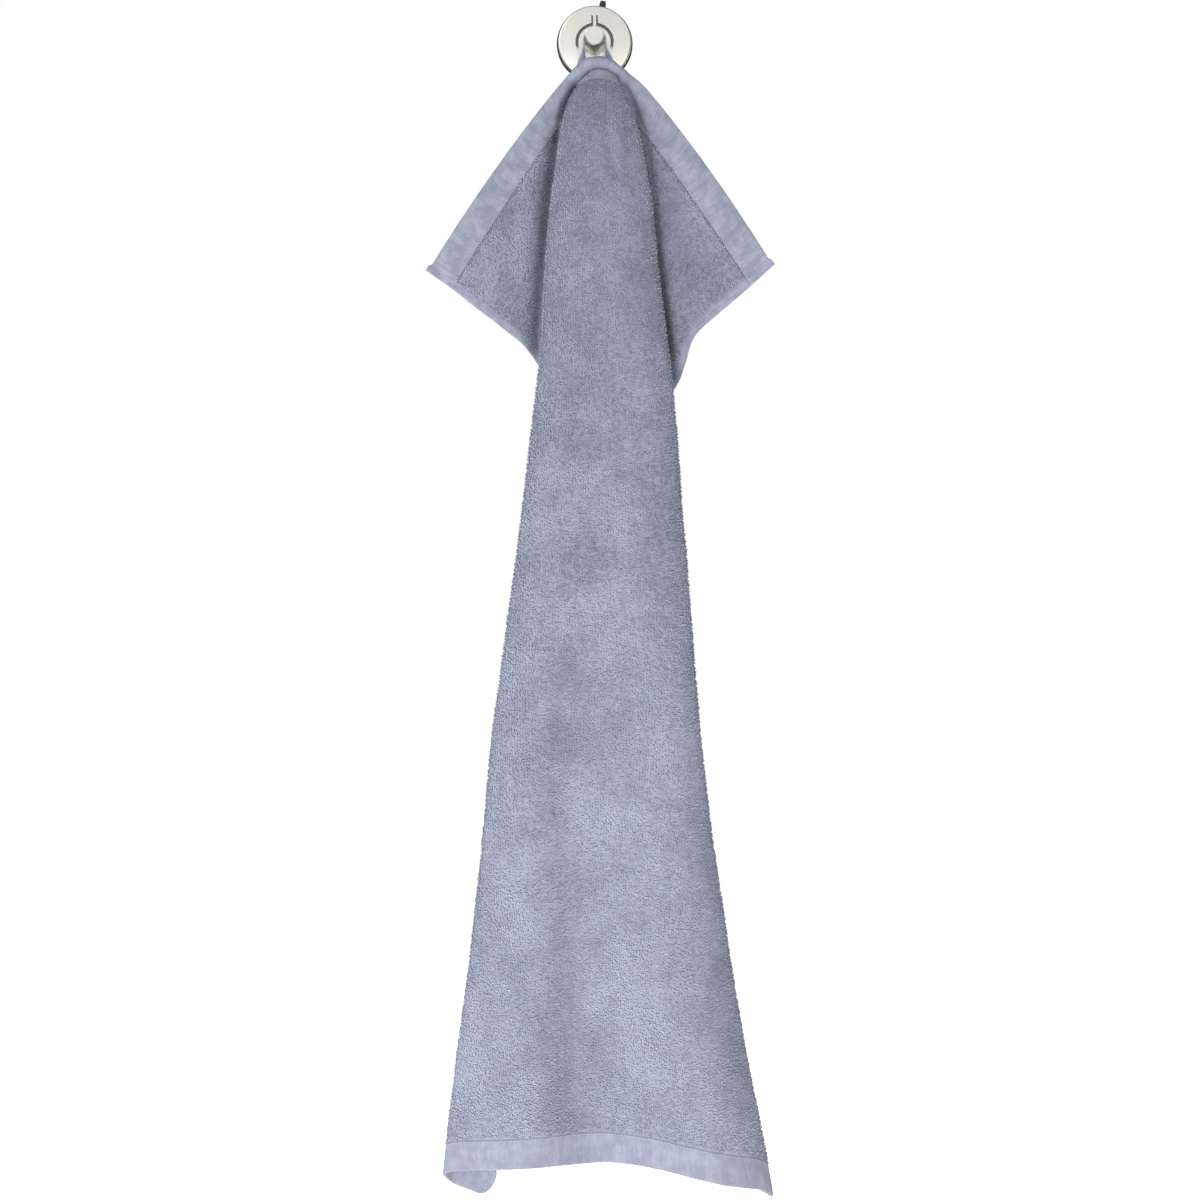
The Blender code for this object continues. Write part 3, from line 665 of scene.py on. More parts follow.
# %% [markdown]
# ## The drawn surface
# The surface is worked out once on a fine net. Any other place on the cloth is then read
# from that net: the sheet, its stitches and every tuft of pile stand on the same surface.
# Where the hem is gathered to a tuck it is also pulled up a little. The surface stays as it
# is there, and only the place on the flat towel that each of its points stands for moves.

# %% Work out the surface once
NET_DOWN = np.concatenate([
    np.arange(0.0, 6.0, 0.1), np.arange(6.0, 94.0, 0.25), np.arange(94.0, 100.01, 0.1),
])
NET_ACROSS = np.linspace(-TOWEL_WIDTH / 2, TOWEL_WIDTH / 2, 2 * ROW_SAMPLES + 1)
HEM = 2.75
SELVEDGE = 0.8
PUCKER_HEIGHT = 0.035
PUCKER_STRETCH = 0.3

Unevenness = namedtuple("Unevenness", "height length seed")
UNEVENNESS = (
    Unevenness(0.10, 9.0, 3),
    Unevenness(0.05, 3.2, 4),
)

Pull = namedtuple("Pull", "down left right")
PULLS = (
    Pull(0.0, 0.0, 0.0),
    Pull(2.75, 0.98, 0.85),
    Pull(5.0, 1.70, 1.36),
    Pull(10.0, 0.90, 0.60),
    Pull(20.0, 0.0, 0.0),
    Pull(100.0, 0.0, 0.0),
)


def frame_on(rows):
    """The unit front normal and the unit direction across at each point, by the cross product of
    the net's slopes."""
    down_slope = np.gradient(rows, NET_DOWN, axis=0)
    across_slope = np.gradient(rows, NET_ACROSS, axis=1)
    normal = np.cross(down_slope, across_slope)
    normal /= np.linalg.norm(normal, axis=2, keepdims=True)
    along = across_slope / np.linalg.norm(across_slope, axis=2, keepdims=True)
    return normal, along


net_rows, left_turns, right_turns = hung_cloth(NET_DOWN)
net_normal, net_along = frame_on(net_rows)
grid_down, grid_across = np.meshgrid(NET_DOWN, NET_ACROSS, indexing="ij")
fold_at = np.where(grid_across < 0, left_turns[:, :1], right_turns[:, :1])
tuck_at = np.where(grid_across < 0, left_turns[:, 1:], right_turns[:, 1:])
on_front = 1 - step_up(np.abs(grid_across), fold_at - 0.6, fold_at + 0.2)
on_wing = step_up(np.abs(grid_across), tuck_at, tuck_at + 0.6)
layers = {
    "hem": 1 - step_up(grid_down, 3.4, 4.4),
    "front": on_front,
    "left wing": on_wing * (grid_across < 0),
    "right wing": on_wing * (grid_across > 0),
}
below_gather = step_up(grid_down, 2.5, 14.0)
uneven = sum(u.height * soft_noise(grid_down, grid_across, u.length, u.seed) for u in UNEVENNESS)
in_hem = 1 - step_up(np.minimum(grid_down, TOWEL_LENGTH - grid_down), HEM - 0.3, HEM + 0.2)
pucker = soft_noise(grid_down * PUCKER_STRETCH, grid_across, 0.9, 6) * in_hem
pucker = pucker + soft_noise(grid_down, grid_across, 1.4, 7) * 0.5
heights = uneven * below_gather + PUCKER_HEIGHT * pucker + crease_heights(net_rows, layers)
net_rows = net_rows + net_normal * heights[:, :, None]
net_normal, net_along = frame_on(net_rows)
NET = np.concatenate([net_rows * CM, net_normal, net_along], axis=2)
print("net", NET.shape, "creases", len(CREASES))


def pulled(down, across):
    """The row that a place on the flat towel hangs on: its own less a pull, which is full at the
    tuck and eases to none at the front fold on one side and at the selvedge on the other."""
    found = np.zeros(np.broadcast(down, across).shape)
    for turns, name, side in ((left_turns, "left", -1), (right_turns, "right", 1)):
        reach = side * across
        fold, tuck = (np.interp(down, NET_DOWN, turns[:, k]) for k in range(2))
        inner = (reach - fold) / (tuck - fold)
        outer = (TOWEL_WIDTH / 2 - reach) / (TOWEL_WIDTH / 2 - tuck)
        share = np.minimum(inner, outer)
        pull = monotone(down, [row.down for row in PULLS], [getattr(row, name) for row in PULLS])
        found += pull * np.clip(share, 0.0, 1.0) * (reach > 0)
    return down - found


def on_cloth(down, across):
    """Points, front normals and directions across at any places on the cloth: each is the mean of
    the four net points round it, weighted by nearness."""
    down = pulled(down, across)
    i = np.interp(down, NET_DOWN, np.arange(len(NET_DOWN)))
    j = np.interp(across, NET_ACROSS, np.arange(len(NET_ACROSS)))
    i0 = np.minimum(i.astype(int), len(NET_DOWN) - 2)
    j0 = np.minimum(j.astype(int), len(NET_ACROSS) - 2)
    f, g = (i - i0)[..., None], (j - j0)[..., None]
    found = (NET[i0, j0] * (1 - f) * (1 - g) + NET[i0 + 1, j0] * f * (1 - g)
             + NET[i0, j0 + 1] * (1 - f) * g + NET[i0 + 1, j0 + 1] * f * g)
    point, normal, along = found[..., :3], found[..., 3:6], found[..., 6:]
    normal = normal / np.linalg.norm(normal, axis=-1, keepdims=True)
    return point, normal, along


# %% [markdown]
# ## The towel's colours
# One material serves the whole sheet, because the mill weaves it in one piece: terry in the
# middle, a flat band at each end and a narrow flat strip down each side. Its map is in
# metres on the flat towel, so the masks are plain distances from the edges. The pile that
# stands on it takes its blotches from the same map, so they run on through both.

# %% Cloth materials
CLOTH_MAP = "cloth"
BAKE_MAP = "OFBake"
TUFT_MAP = "tuft"
# the map of painted shade in the gaps
PAINTED_GAP_SHADE_MAP = "gap"
TERRY_COLOUR = (0.480, 0.511, 0.645, 1.0)
TERRY_DARK = (0.272, 0.293, 0.388, 1.0)
# painted shade: between the pile's loops, and towards the foot of the flat bands
TERRY_PAINTED_SHADE = (0.140, 0.152, 0.212, 1.0)
FLAT_COLOUR = (0.315, 0.336, 0.422, 1.0)
FLAT_DARK = (0.208, 0.224, 0.296, 1.0)
SEAM_COLOUR = (0.135, 0.146, 0.200, 1.0)
# painted shade in the gaps where a pleat laps over the front
PAINTED_GAP_SHADE_COLOUR = (0.022, 0.025, 0.042, 1.0)

EVEN = (1.0, 1.0, 1.0)
ALONG = (1.0, 0.4, 1.0)
Cloud = namedtuple("Cloud", "share size detail rough stretch")
BROAD = Cloud(0.8, 0.11, 2.0, 0.5, EVEN)
BLOTS = Cloud(0.7, 0.032, 3.0, 0.6, EVEN)
STREAKS = Cloud(0.5, 0.010, 3.0, 0.6, ALONG)
GRAIN = Cloud(0.95, 0.0040, 3.0, 0.65, EVEN)
TUFT_CHANCE = 0.45
PILE_TONE = 1.71


def terry_look(name, ground):
    """Terry: a sum of clouds of 11, 3 and 1 cm and of a grain of 4 mm, with painted shade between the
    loops. The flat weave of the bands is ribbed along the towel, with painted shade towards the foot. With
    ground it is the sheet's look, which holds the bands and seams, and without it the pile's, whose tufts
    carry painted shade at the base. Both carry painted shade along the gaps where a pleat laps over the
    front."""
    look = Look(name, TERRY_COLOUR[:3], 0.95, Sheen_Weight=0.2, Sheen_Roughness=0.6,
                Specular_IOR_Level=0.2)
    flat = look.place(CLOTH_MAP)
    broad, blots, streaks, grain = (
        look.noise(flat, cloud.size, cloud.detail, cloud.rough, cloud.stretch) * cloud.share
        for cloud in (BROAD, BLOTS, STREAKS, GRAIN))
    tone = broad + blots + streaks + grain
    across, down, _ = look.parts(flat)
    # painted shade in the gaps, read from its map
    painted_gap_shade, _, _ = look.parts(look.place(PAINTED_GAP_SHADE_MAP))
    if not ground:
        height, chance, _ = look.parts(look.place(TUFT_MAP))
        # The mottle is random tone, and stronger towards the top as painted shade of the pile there.
        contrast = look.ease(down, 0.1, 0.7, 1.45, 0.85)
        mottle = (tone + chance * TUFT_CHANCE - PILE_TONE) * contrast
        terry = look.mix(look.ease(mottle, -0.36, 0.36), TERRY_DARK, TERRY_COLOUR)
        # painted shade at each tuft's base, fading to a lighter tip
        tuft = look.mix(look.ease(height, 0.1, 0.85), TERRY_PAINTED_SHADE, terry)
        look.set("Base Color", look.mix(painted_gap_shade, tuft, PAINTED_GAP_SHADE_COLOUR))
        look.bump(look.noise(flat, 0.0009, 2.0, 0.6), 0.0005)
        return look.material
    terry = look.mix(look.ease(tone, 1.20, 1.75), TERRY_DARK, TERRY_COLOUR)
    end = down.least(1.0 - down)
    side = TOWEL_WIDTH / 2 * CM - abs(across)
    band = 1.0 - look.ease(end, HEM * CM - 0.0006, HEM * CM + 0.0006)
    strip = 1.0 - look.ease(side, SELVEDGE * CM - 0.0008, SELVEDGE * CM + 0.0008)
    plain = band.most(strip)
    seam = 1.0 - look.ease(abs(end - HEM * CM), 0.0003, 0.0011)
    ribs = look.noise(flat, 0.0016, 2.0, 0.6, (1.0, 0.08, 1.0))
    patches = look.noise(flat, 0.013, 3.0, 0.65)
    # painted shade: the flat bands grow darker towards the foot of the towel
    low = look.ease(down, 0.4, 1.0)
    flat_tone = look.ease(ribs * 0.45 + patches * 0.9, 0.50, 0.90)
    woven = look.mix(low * 0.30, look.mix(flat_tone, FLAT_DARK, FLAT_COLOUR), TERRY_PAINTED_SHADE)
    # painted shade on the ground between the tufts
    colour = look.mix(plain, look.mix(0.45, TERRY_PAINTED_SHADE, terry), woven)
    colour = look.mix(seam * (1.0 - strip) * 0.55, colour, SEAM_COLOUR)
    look.set("Base Color", look.mix(painted_gap_shade, colour, PAINTED_GAP_SHADE_COLOUR))
    loops = look.noise(flat, 0.0016, 2.0, 0.7)
    weave = ribs * 0.35 + look.noise(flat, 0.0007, 1.0) * 0.15
    look.bump(plain * weave + (1.0 - plain) * loops, 0.0012)
    return look.material


def thread_look(name, colour):
    """Twisted thread: noise of 1 mm between a dark and a light tone, over a finer bump."""
    look = Look(name, colour, 0.75, Sheen_Weight=0.2)
    place = look.place()
    dark = (*[0.75 * c for c in colour], 1.0)
    look.set("Base Color", look.mix(look.noise(place, 0.001), dark, (*colour, 1.0)))
    look.bump(look.noise(place, 0.0004, 1.0), 0.0002)
    return look.material


sheet_look = terry_look("woven_cloth", ground=True)
pile_look = terry_look("terry_pile", ground=False)
thread = thread_look("hem_thread", (0.46, 0.49, 0.60))

# %% [markdown]
# ## The sheet
# The sheet is closed, like real cloth: a front and a back, half a thickness each side of the
# middle surface, joined round the edges. Its thickness changes from place to place. It is
# thinnest in the stitch groove and at the edges, and the doubled hem is thicker.

# %% Build the sheet
END_ROWS = np.concatenate([
    np.array([0.0, 0.03, 0.08, 0.16]), np.arange(0.3, 2.5, 0.16),
    np.array([2.52, 2.6, 2.66, 2.72, 2.78, 2.84, 2.92]),
])
SHEET_ROWS = np.concatenate([
    END_ROWS, np.arange(3.1, 7.9, 0.2), np.arange(8.0, 92.0, 0.44), np.arange(92.0, 96.9, 0.35),
    TOWEL_LENGTH - END_ROWS[::-1],
])
EDGE_COLUMNS = np.array([0.0, 0.03, 0.08, 0.16, 0.3, 0.5, 0.68, 0.74, 0.80, 0.86, 0.92])
SHEET_COLUMNS = np.concatenate([
    -25.0 + EDGE_COLUMNS, np.linspace(-23.8, -5.2, 44), np.linspace(-5.0, 5.0, 49),
    np.linspace(5.2, 23.8, 44), 25.0 - EDGE_COLUMNS[::-1],
])
GROUND = 1.0
HEM_SWELL = 0.25
GROOVE_MM = 0.55
GROOVE_WIDTH = 0.06
EDGE_MM = 0.25
EDGE_ROUND = 0.15
SEAM_SOFT = 0.05
CORNER = 1.1
STRIP_TAIL = 0.22
TAIL_START = 1.2


def half_thickness(down, across):
    """Millimetres from the middle surface to the face: the ground, more in the doubled hem, less in
    the stitch grooves, and rounded off within 1.5 mm of every edge."""
    end = np.minimum(down, TOWEL_LENGTH - down)
    side = TOWEL_WIDTH / 2 - np.abs(across)
    terry = np.minimum(step_up(end, HEM - SEAM_SOFT, HEM + SEAM_SOFT),
                       step_up(side, SELVEDGE - SEAM_SOFT, SELVEDGE + SEAM_SOFT))
    groove = np.maximum(bell(end, HEM, GROOVE_WIDTH), bell(side, SELVEDGE, GROOVE_WIDTH) * 0.7)
    body = GROUND + HEM_SWELL * (1 - terry) - GROOVE_MM * groove
    near = np.clip(np.minimum(end, side) / EDGE_ROUND, 0.0, 1.0)
    return EDGE_MM + (body - EDGE_MM) * np.sqrt(1 - (1 - near) ** 2)


def bake_places(down, across, back):
    """Places in a unit square for the baked picture: the front in its left half, the back in its
    right."""
    u = (across / TOWEL_WIDTH + 0.5) * 0.49 + np.where(back, 0.505, 0.005)
    return np.stack([u, 0.005 + 0.99 * down / TOWEL_LENGTH], axis=-1)


def round_corners(down, across):
    """The two bottom corners rounded: a corner square of the grid is squeezed to a quarter disc."""
    p = np.clip(1 - (TOWEL_LENGTH - down) / CORNER, 0.0, 1.0)
    q = np.clip(1 - (TOWEL_WIDTH / 2 - np.abs(across)) / CORNER, 0.0, 1.0)
    down = down - CORNER * p * (1 - np.sqrt(1 - q * q / 2))
    across = across - np.sign(across) * CORNER * q * (1 - np.sqrt(1 - p * p / 2))
    return down, across


def build_sheet():
    """Both faces of the sheet, half its thickness along the normal each way, and the edge between
    them. The side strips run on past the top hem in short tails."""
    grid_rows, grid_columns = np.meshgrid(SHEET_ROWS, SHEET_COLUMNS, indexing="ij")
    down, across = round_corners(grid_rows, grid_columns)
    point, normal, _ = on_cloth(down, across)
    half = half_thickness(grid_rows, grid_columns)[:, :, None] * MM
    upward = point[0] - on_cloth(np.full_like(SHEET_COLUMNS, 0.5), SHEET_COLUMNS)[0]
    upward /= np.linalg.norm(upward, axis=1, keepdims=True)
    strip = 1 - step_up(TOWEL_WIDTH / 2 - np.abs(across), SELVEDGE - 0.25, SELVEDGE)
    tail = STRIP_TAIL * CM * (1 - step_up(down, 0.0, TAIL_START)) * strip
    point = point + upward[None] * tail[:, :, None]
    faces = [point + normal * half, point - normal * half]
    rows, columns = down.shape
    count = rows * columns
    front = quads_of(rows, columns)
    index = np.arange(count).reshape(rows, columns)
    rim = np.concatenate([index[0, :-1], index[:-1, -1], index[-1, :0:-1], index[:0:-1, 0]])
    after = np.roll(rim, -1)
    edge = np.stack([rim, after, after + count, rim + count], axis=1)
    flat = np.stack([across * CM, down * CM], axis=-1).reshape(-1, 2)
    bake = [bake_places(down, across, back).reshape(-1, 2) for back in (False, True)]
    maps = {
        CLOTH_MAP: np.concatenate([flat, flat]),
        BAKE_MAP: np.concatenate(bake),
        PAINTED_GAP_SHADE_MAP: np.concatenate([painted_gap_shade_map(point, back) for back in (False, True)]),
    }
    points = np.concatenate([f.reshape(-1, 3) for f in faces])
    back = front[:, ::-1] + count
    return make_piece("towel_sheet", points, [front, back, edge], sheet_look, maps)


sheet = build_sheet()
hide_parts("towel")

# %% [markdown]
# ## The pile
# Terry is a field of small loops. A loop is thinner than a pixel at this distance, so each
# tuft here stands for a few of them: a small pyramid, its base sunk in the ground, that leans
# the way its neighbours lean. Which way it leans changes slowly over the towel, as if hands
# had brushed it, and that is what makes terry look cloudy. The loops stand in columns along
# the towel, so a tuft is shaken less across than down.

# %% Build the pile
PILE_PITCH = 0.24
PILE_HEIGHT = 1.55
PILE_SUNK = 0.3
PILE_RADIUS = 1.5
PILE_LEAN = 0.9
PILE_START = HEM + 0.02
SHAKE_DOWN = 0.48
SHAKE_ACROSS = 0.3
LEAN_LENGTH = 2.6
TUFT_CORNERS = ((0.0, 0.9), (0.8, -0.5), (-0.8, -0.5), (0.1, 0.1))
TUFT_FACES = ((0, 1, 3), (1, 2, 3), (2, 0, 3), (2, 1, 0))
Field = namedtuple("Field", "name back start stop seed")
FIELDS = (
    Field("pile_front_upper", False, PILE_START, 50.0, 11),
    Field("pile_front_lower", False, 50.0, TOWEL_LENGTH - PILE_START, 12),
    Field("pile_back_upper", True, PILE_START, 50.0, 13),
    Field("pile_back_lower", True, 50.0, TOWEL_LENGTH - PILE_START, 14),
)


def build_pile(field):
    """A tuft in each cell of a shaken net: three points of a sunk base, a third of a turn apart and
    turned at random, and a tip that stands along the normal and leans with its neighbours."""
    chance = np.random.default_rng(field.seed)
    edge = TOWEL_WIDTH / 2 - SELVEDGE - 0.1
    down, across = np.meshgrid(np.arange(field.start, field.stop, PILE_PITCH),
                               np.arange(-edge, edge, PILE_PITCH), indexing="ij")
    down = (down + chance.uniform(-SHAKE_DOWN, SHAKE_DOWN, down.shape) * PILE_PITCH).ravel()
    down = np.clip(down, field.start, TOWEL_LENGTH - PILE_START)
    shake = chance.uniform(-SHAKE_ACROSS, SHAKE_ACROSS, across.shape)
    across = (across + shake * PILE_PITCH).ravel()
    count = len(down)
    point, normal, along = on_cloth(down, across)
    if field.back:
        normal = -normal
    beside = np.cross(normal, along)
    size = chance.uniform(0.7, 1.25, (count, 1)) * MM
    turn = chance.uniform(0, 2 * math.pi, count)
    rings = []
    for k in range(3):
        angle = turn + k * 2 * math.pi / 3
        out = along * np.cos(angle)[:, None] + beside * np.sin(angle)[:, None]
        base = point + normal * (GROUND - PILE_SUNK) * MM
        rings.append(base + out * PILE_RADIUS * size)
    sway = [soft_noise(down, across, LEAN_LENGTH, field.seed + k) + chance.normal(0, 0.5, count)
            for k in (20, 40)]
    sway = np.stack(sway, axis=1)
    tip = point + normal * (GROUND * MM + PILE_HEIGHT * size)
    tip = tip + (along * sway[:, :1] + beside * sway[:, 1:]) * PILE_LEAN * MM
    points = np.stack([*rings, tip], axis=1)
    first = 4 * np.arange(count)[:, None]
    faces = (first[:, :, None] + np.array(TUFT_FACES)[None]).reshape(-1, 3)
    nudge = np.array(TUFT_CORNERS) * PILE_PITCH / 2
    flat_across = across[:, None] + nudge[None, :, 0]
    flat_down = down[:, None] + nudge[None, :, 1]
    height = np.tile([0.0, 0.0, 0.0, 1.0], count)
    luck = np.repeat(chance.uniform(0.0, 1.0, count), 4)
    bake = [flat_across / TOWEL_WIDTH + 0.5,
            (flat_down - field.start + 1) / (field.stop - field.start + 2)]
    maps = {
        CLOTH_MAP: np.stack([flat_across * CM, flat_down * CM], axis=-1).reshape(-1, 2),
        BAKE_MAP: np.clip(np.stack(bake, axis=-1), 0.0, 1.0).reshape(-1, 2),
        TUFT_MAP: np.stack([height, luck], axis=-1),
        PAINTED_GAP_SHADE_MAP: np.repeat(painted_gap_shade_map(point, field.back), 4, axis=0),
    }
    return make_piece(field.name, points, [faces], pile_look, maps)


pile = [build_pile(field) for field in FIELDS]

# %% [markdown]
# ## Stitches
# The hems and side strips are sewn down with a lockstitch: a row of short threads, each
# sinking at both ends. One stitch is a bent spindle of a few faces, and arrays repeat it
# along the seam.

# %% Build the stitches
STITCH_STEP = 0.34
STITCH_LONG = 0.27
STITCH_RADIUS = 0.34
STITCH_RINGS = 3
STITCH_SIDES = 4
STITCH_END = 0.08
STITCH_RISE = 0.32
STITCH_SUNK = 0.12
SEAM_IN = 0.14
Seam = namedtuple("Seam", "start_down start_across stop_down stop_across")
SEAMS = (
    Seam(HEM - SEAM_IN, -24.7, HEM - SEAM_IN, 24.7),
    Seam(TOWEL_LENGTH - HEM + SEAM_IN, -24.7, TOWEL_LENGTH - HEM + SEAM_IN, 24.7),
    Seam(0.3, -TOWEL_WIDTH / 2 + SELVEDGE - SEAM_IN, 99.7, -TOWEL_WIDTH / 2 + SELVEDGE - SEAM_IN),
    Seam(0.3, TOWEL_WIDTH / 2 - SELVEDGE + SEAM_IN, 99.7, TOWEL_WIDTH / 2 - SELVEDGE + SEAM_IN),
)


def build_stitches(name, seams, back):
    """Spindles end to end along each seam: a ring's radius is a half sine of how far along the
    stitch it is, and its middle rises by the same half sine."""
    side = -1.0 if back else 1.0
    share = np.linspace(0.0, 1.0, STITCH_RINGS)
    thick = np.sin(math.pi * (STITCH_END + (1 - 2 * STITCH_END) * share))
    points, faces, maps, begun = [], [], [], 0
    for seam in seams:
        run = math.hypot(seam.stop_down - seam.start_down, seam.stop_across - seam.start_across)
        count = int(run / STITCH_STEP)
        at = (np.arange(count)[:, None] * STITCH_STEP + share[None, :] * STITCH_LONG) / run
        down = seam.start_down + (seam.stop_down - seam.start_down) * at
        across = seam.start_across + (seam.stop_across - seam.start_across) * at
        point, normal, along = on_cloth(down, across)
        normal = normal * side
        heading = np.gradient(point, axis=1)
        heading /= np.linalg.norm(heading, axis=2, keepdims=True)
        beside = np.cross(heading, normal)
        lift = half_thickness(down, across) + thick[None, :] * STITCH_RISE - STITCH_SUNK
        centre = point + normal * lift[..., None] * MM
        angle = np.linspace(0, 2 * math.pi, STITCH_SIDES, endpoint=False)
        ring = (normal[:, :, None] * np.cos(angle)[None, None, :, None]
                + beside[:, :, None] * np.sin(angle)[None, None, :, None])
        shape = centre[:, :, None] + ring * (thick[None, :, None, None] * STITCH_RADIUS * MM)
        per = STITCH_RINGS * STITCH_SIDES
        one = quads_of(STITCH_RINGS, STITCH_SIDES, closed=True)
        caps = np.array([np.arange(STITCH_SIDES), per - 1 - np.arange(STITCH_SIDES)])
        offset = begun + per * np.arange(count)[:, None, None]
        faces.append(((one[None] + offset).reshape(-1, 4),
                      (caps[None] + offset).reshape(-1, STITCH_SIDES)))
        points.append(shape.reshape(-1, 3))
        begun += per * count
    quads = np.concatenate([f[0] for f in faces])
    caps = np.concatenate([f[1] for f in faces])
    return make_piece(name, np.concatenate(points), [quads, caps], thread)


stitches = [build_stitches(name, SEAMS, back)
            for name, back in (("stitches_front", False), ("stitches_back", True))]

# %% [markdown]
# ## The hanging tape
# The loop is a flat woven tape. It lies over the peg with its width along the peg, and both
# legs turn a quarter on the way down, so that they can be sewn flat behind the hem. A flat
# section is carried along that course, and turned as the table says.

# %% Sizes of the hook and its tape, in millimetres
PAD_RADIUS = 35.0
PAD_THICKNESS = 2.0
TAB_WIDTH = 5.7
TAB_OFFSET = 6.9
TAB_TOP = 40.8
COVER_RADIUS = 33.8
COVER_BACK = 2.3
COVER_EDGE = 7.2
COVER_FACE = 8.4
COVER_ROUNDING = 1.2
GROOVE_INNER = 14.9
GROOVE_OUTER = 17.4
GROOVE_DEPTH = 1.3
SLOT_OFFSET = 2.2
SLOT_WIDTH = 1.3
SLOT_TOP = 24.8
KNOB_RADIUS = 9.1
KNOB_FACE_RADIUS = 7.8
KNOB_TIP = 35.5
KNOB_DROP = 2.5
KNOB_SEAT = 8.75
TAPE_WIDTH = 8.0
TAPE_THICKNESS = 1.2
TAPE_GAP = 0.35
LOOP_DEPTH = 19.0

# %% Build the tape
Course = namedtuple("Course", "x y z across")
SEWN_LEFT = (
    Course(-12.0, -21.8, -30.0, 1.0),
    Course(-11.9, -21.5, -25.0, 1.0),
    Course(-11.4, -20.2, -21.0, 0.85),
    Course(-10.8, -19.4, -17.5, 0.5),
    Course(-10.2, -19.1, -12.5, 0.22),
    Course(-10.0, -19.0, -7.0, 0.03),
)
SEWN_RIGHT = (
    Course(10.4, -19.0, -7.0, 0.03),
    Course(11.2, -19.1, -12.5, 0.22),
    Course(12.2, -19.4, -17.5, 0.5),
    Course(12.9, -20.2, -21.0, 0.85),
    Course(13.4, -21.5, -25.0, 1.0),
    Course(13.6, -21.8, -30.0, 1.0),
)
TAPE_STEPS = 220
TAPE_SECTION = 20
TAPE_SQUARE_WIDE = 0.35
TAPE_SQUARE_THICK = 0.7
RIB_PITCH = 0.0011
WARP_PITCH = 0.0009


def tape_look(name):
    """Woven tape: two crossing sine waves, along it and across it, on its own map in metres."""
    look = Look(name, (0.40, 0.43, 0.54), 0.85, Sheen_Weight=0.2)
    across, along, _ = look.parts(look.place(CLOTH_MAP))
    rib = (along * (2 * math.pi / RIB_PITCH)).sine() * 0.5 + 0.5
    warp = (across * (2 * math.pi / WARP_PITCH)).sine() * 0.5 + 0.5
    cloudy = look.noise(look.place(CLOTH_MAP), 0.003)
    tone = look.ease(rib * 0.5 + warp * 0.3 + cloudy * 0.6, 0.3, 1.1)
    look.set("Base Color", look.mix(tone, (0.30, 0.325, 0.42, 1.0), (0.45, 0.48, 0.59, 1.0)))
    look.bump(rib * 0.6 + warp * 0.4, 0.0003)
    return look.material


def build_tape():
    """A rounded flat section carried along the tape's course, turning from across y to across x:
    its outline is a cosine and a sine, each raised to a small power to square it."""
    reach = KNOB_RADIUS + TAPE_GAP + TAPE_THICKNESS / 2
    angle = np.radians(np.linspace(178, 2, 17))
    over = np.stack([reach * np.cos(angle), 0 * angle - LOOP_DEPTH,
                     reach * np.sin(angle) - KNOB_DROP, 0 * angle], axis=1)
    left = np.array([(c.x, c.y, c.z, -c.across) for c in SEWN_LEFT])
    right = np.array([(c.x, c.y, c.z, c.across) for c in SEWN_RIGHT])
    course = np.concatenate([left, over, right])
    gap = np.linalg.norm(np.diff(course[:, :3], axis=0), axis=1)
    reached = np.concatenate([[0.0], np.cumsum(gap)])
    wanted = np.linspace(0.0, reached[-1], TAPE_STEPS)
    course = np.stack([monotone(wanted, reached, course[:, k]) for k in range(4)], axis=1)
    path, across = course[:, :3], course[:, 3:]
    along = np.gradient(path, axis=0)
    along /= np.linalg.norm(along, axis=1, keepdims=True)
    quarter = across * math.pi / 2
    wide = np.concatenate([np.sin(quarter), -np.cos(quarter), 0 * quarter], axis=1)
    wide -= (wide * along).sum(axis=1, keepdims=True) * along
    wide /= np.linalg.norm(wide, axis=1, keepdims=True)
    thick = np.cross(along, wide)
    turn = np.linspace(0, 2 * math.pi, TAPE_SECTION, endpoint=False) + math.pi / TAPE_SECTION
    flat = np.sign(np.cos(turn)) * np.abs(np.cos(turn)) ** TAPE_SQUARE_WIDE * TAPE_WIDTH / 2
    high = np.sign(np.sin(turn)) * np.abs(np.sin(turn)) ** TAPE_SQUARE_THICK * TAPE_THICKNESS / 2
    points = path[:, None] + wide[:, None] * flat[None, :, None]
    points = points + thick[:, None] * high[None, :, None]
    count = TAPE_STEPS * TAPE_SECTION
    side = quads_of(TAPE_STEPS, TAPE_SECTION, closed=True)
    start = np.arange(TAPE_SECTION)[None, :]
    stop = (count - 1 - np.arange(TAPE_SECTION))[None, :]
    places = np.stack(np.broadcast_arrays(flat[None, :] * MM, wanted[:, None] * MM), axis=-1)
    return make_piece("tape_loop", points * MM, [side, start, stop], tape_look("woven_tape"),
                      {CLOTH_MAP: places.reshape(-1, 2)})


tape = build_tape()
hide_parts("hanging_loop")

# %% [markdown]
# ## Turned metal
# The hook's disc and peg are turned about the wall's normal, so each is a profile of radius
# and depth taken round a circle. The disc's pressed ring and slots are not the same all the
# way round: its depth is a function of radius and angle both.

# %% Steel and rubber materials
# painted shade of the steel: in the disc's hollows and at its edge, and under the peg
STEEL_PAINTED_SHADE = (0.085, 0.078, 0.065, 1.0)
RINGS_PER_METRE = 9000.0


def steel_look(name, colour, roughness, drop):
    """Satin steel: noise of the radius alone makes fine rings of brushing about the middle, as
    slight changes in tone, roughness and height. drop is how far the middle hangs below z = 0."""
    look = Look(name, colour, roughness, 1.0)
    x, y, z = look.parts(look.place())
    middle = look.node("CombineXYZ", None, {"X": x, "Z": z + drop * MM})
    radius = look.node("VectorMath", {"operation": "LENGTH"}, {0: middle}, 1)
    rings = look.node("TexNoise", {"noise_dimensions": "1D"},
                      {"W": radius * RINGS_PER_METRE, "Scale": 1.0, "Detail": 2.0})
    smudge = look.noise(look.place(), 0.012, 2.0)
    worn = rings * 0.7 + smudge * 0.3
    look.set("Roughness", look.ease(worn, 0.2, 0.8, roughness - 0.06, roughness + 0.08))
    look.bump(rings, 0.00002)
    return look, x, y, z, radius, look.mix(rings, (*[0.93 * c for c in colour], 1.0), (*colour, 1.0))


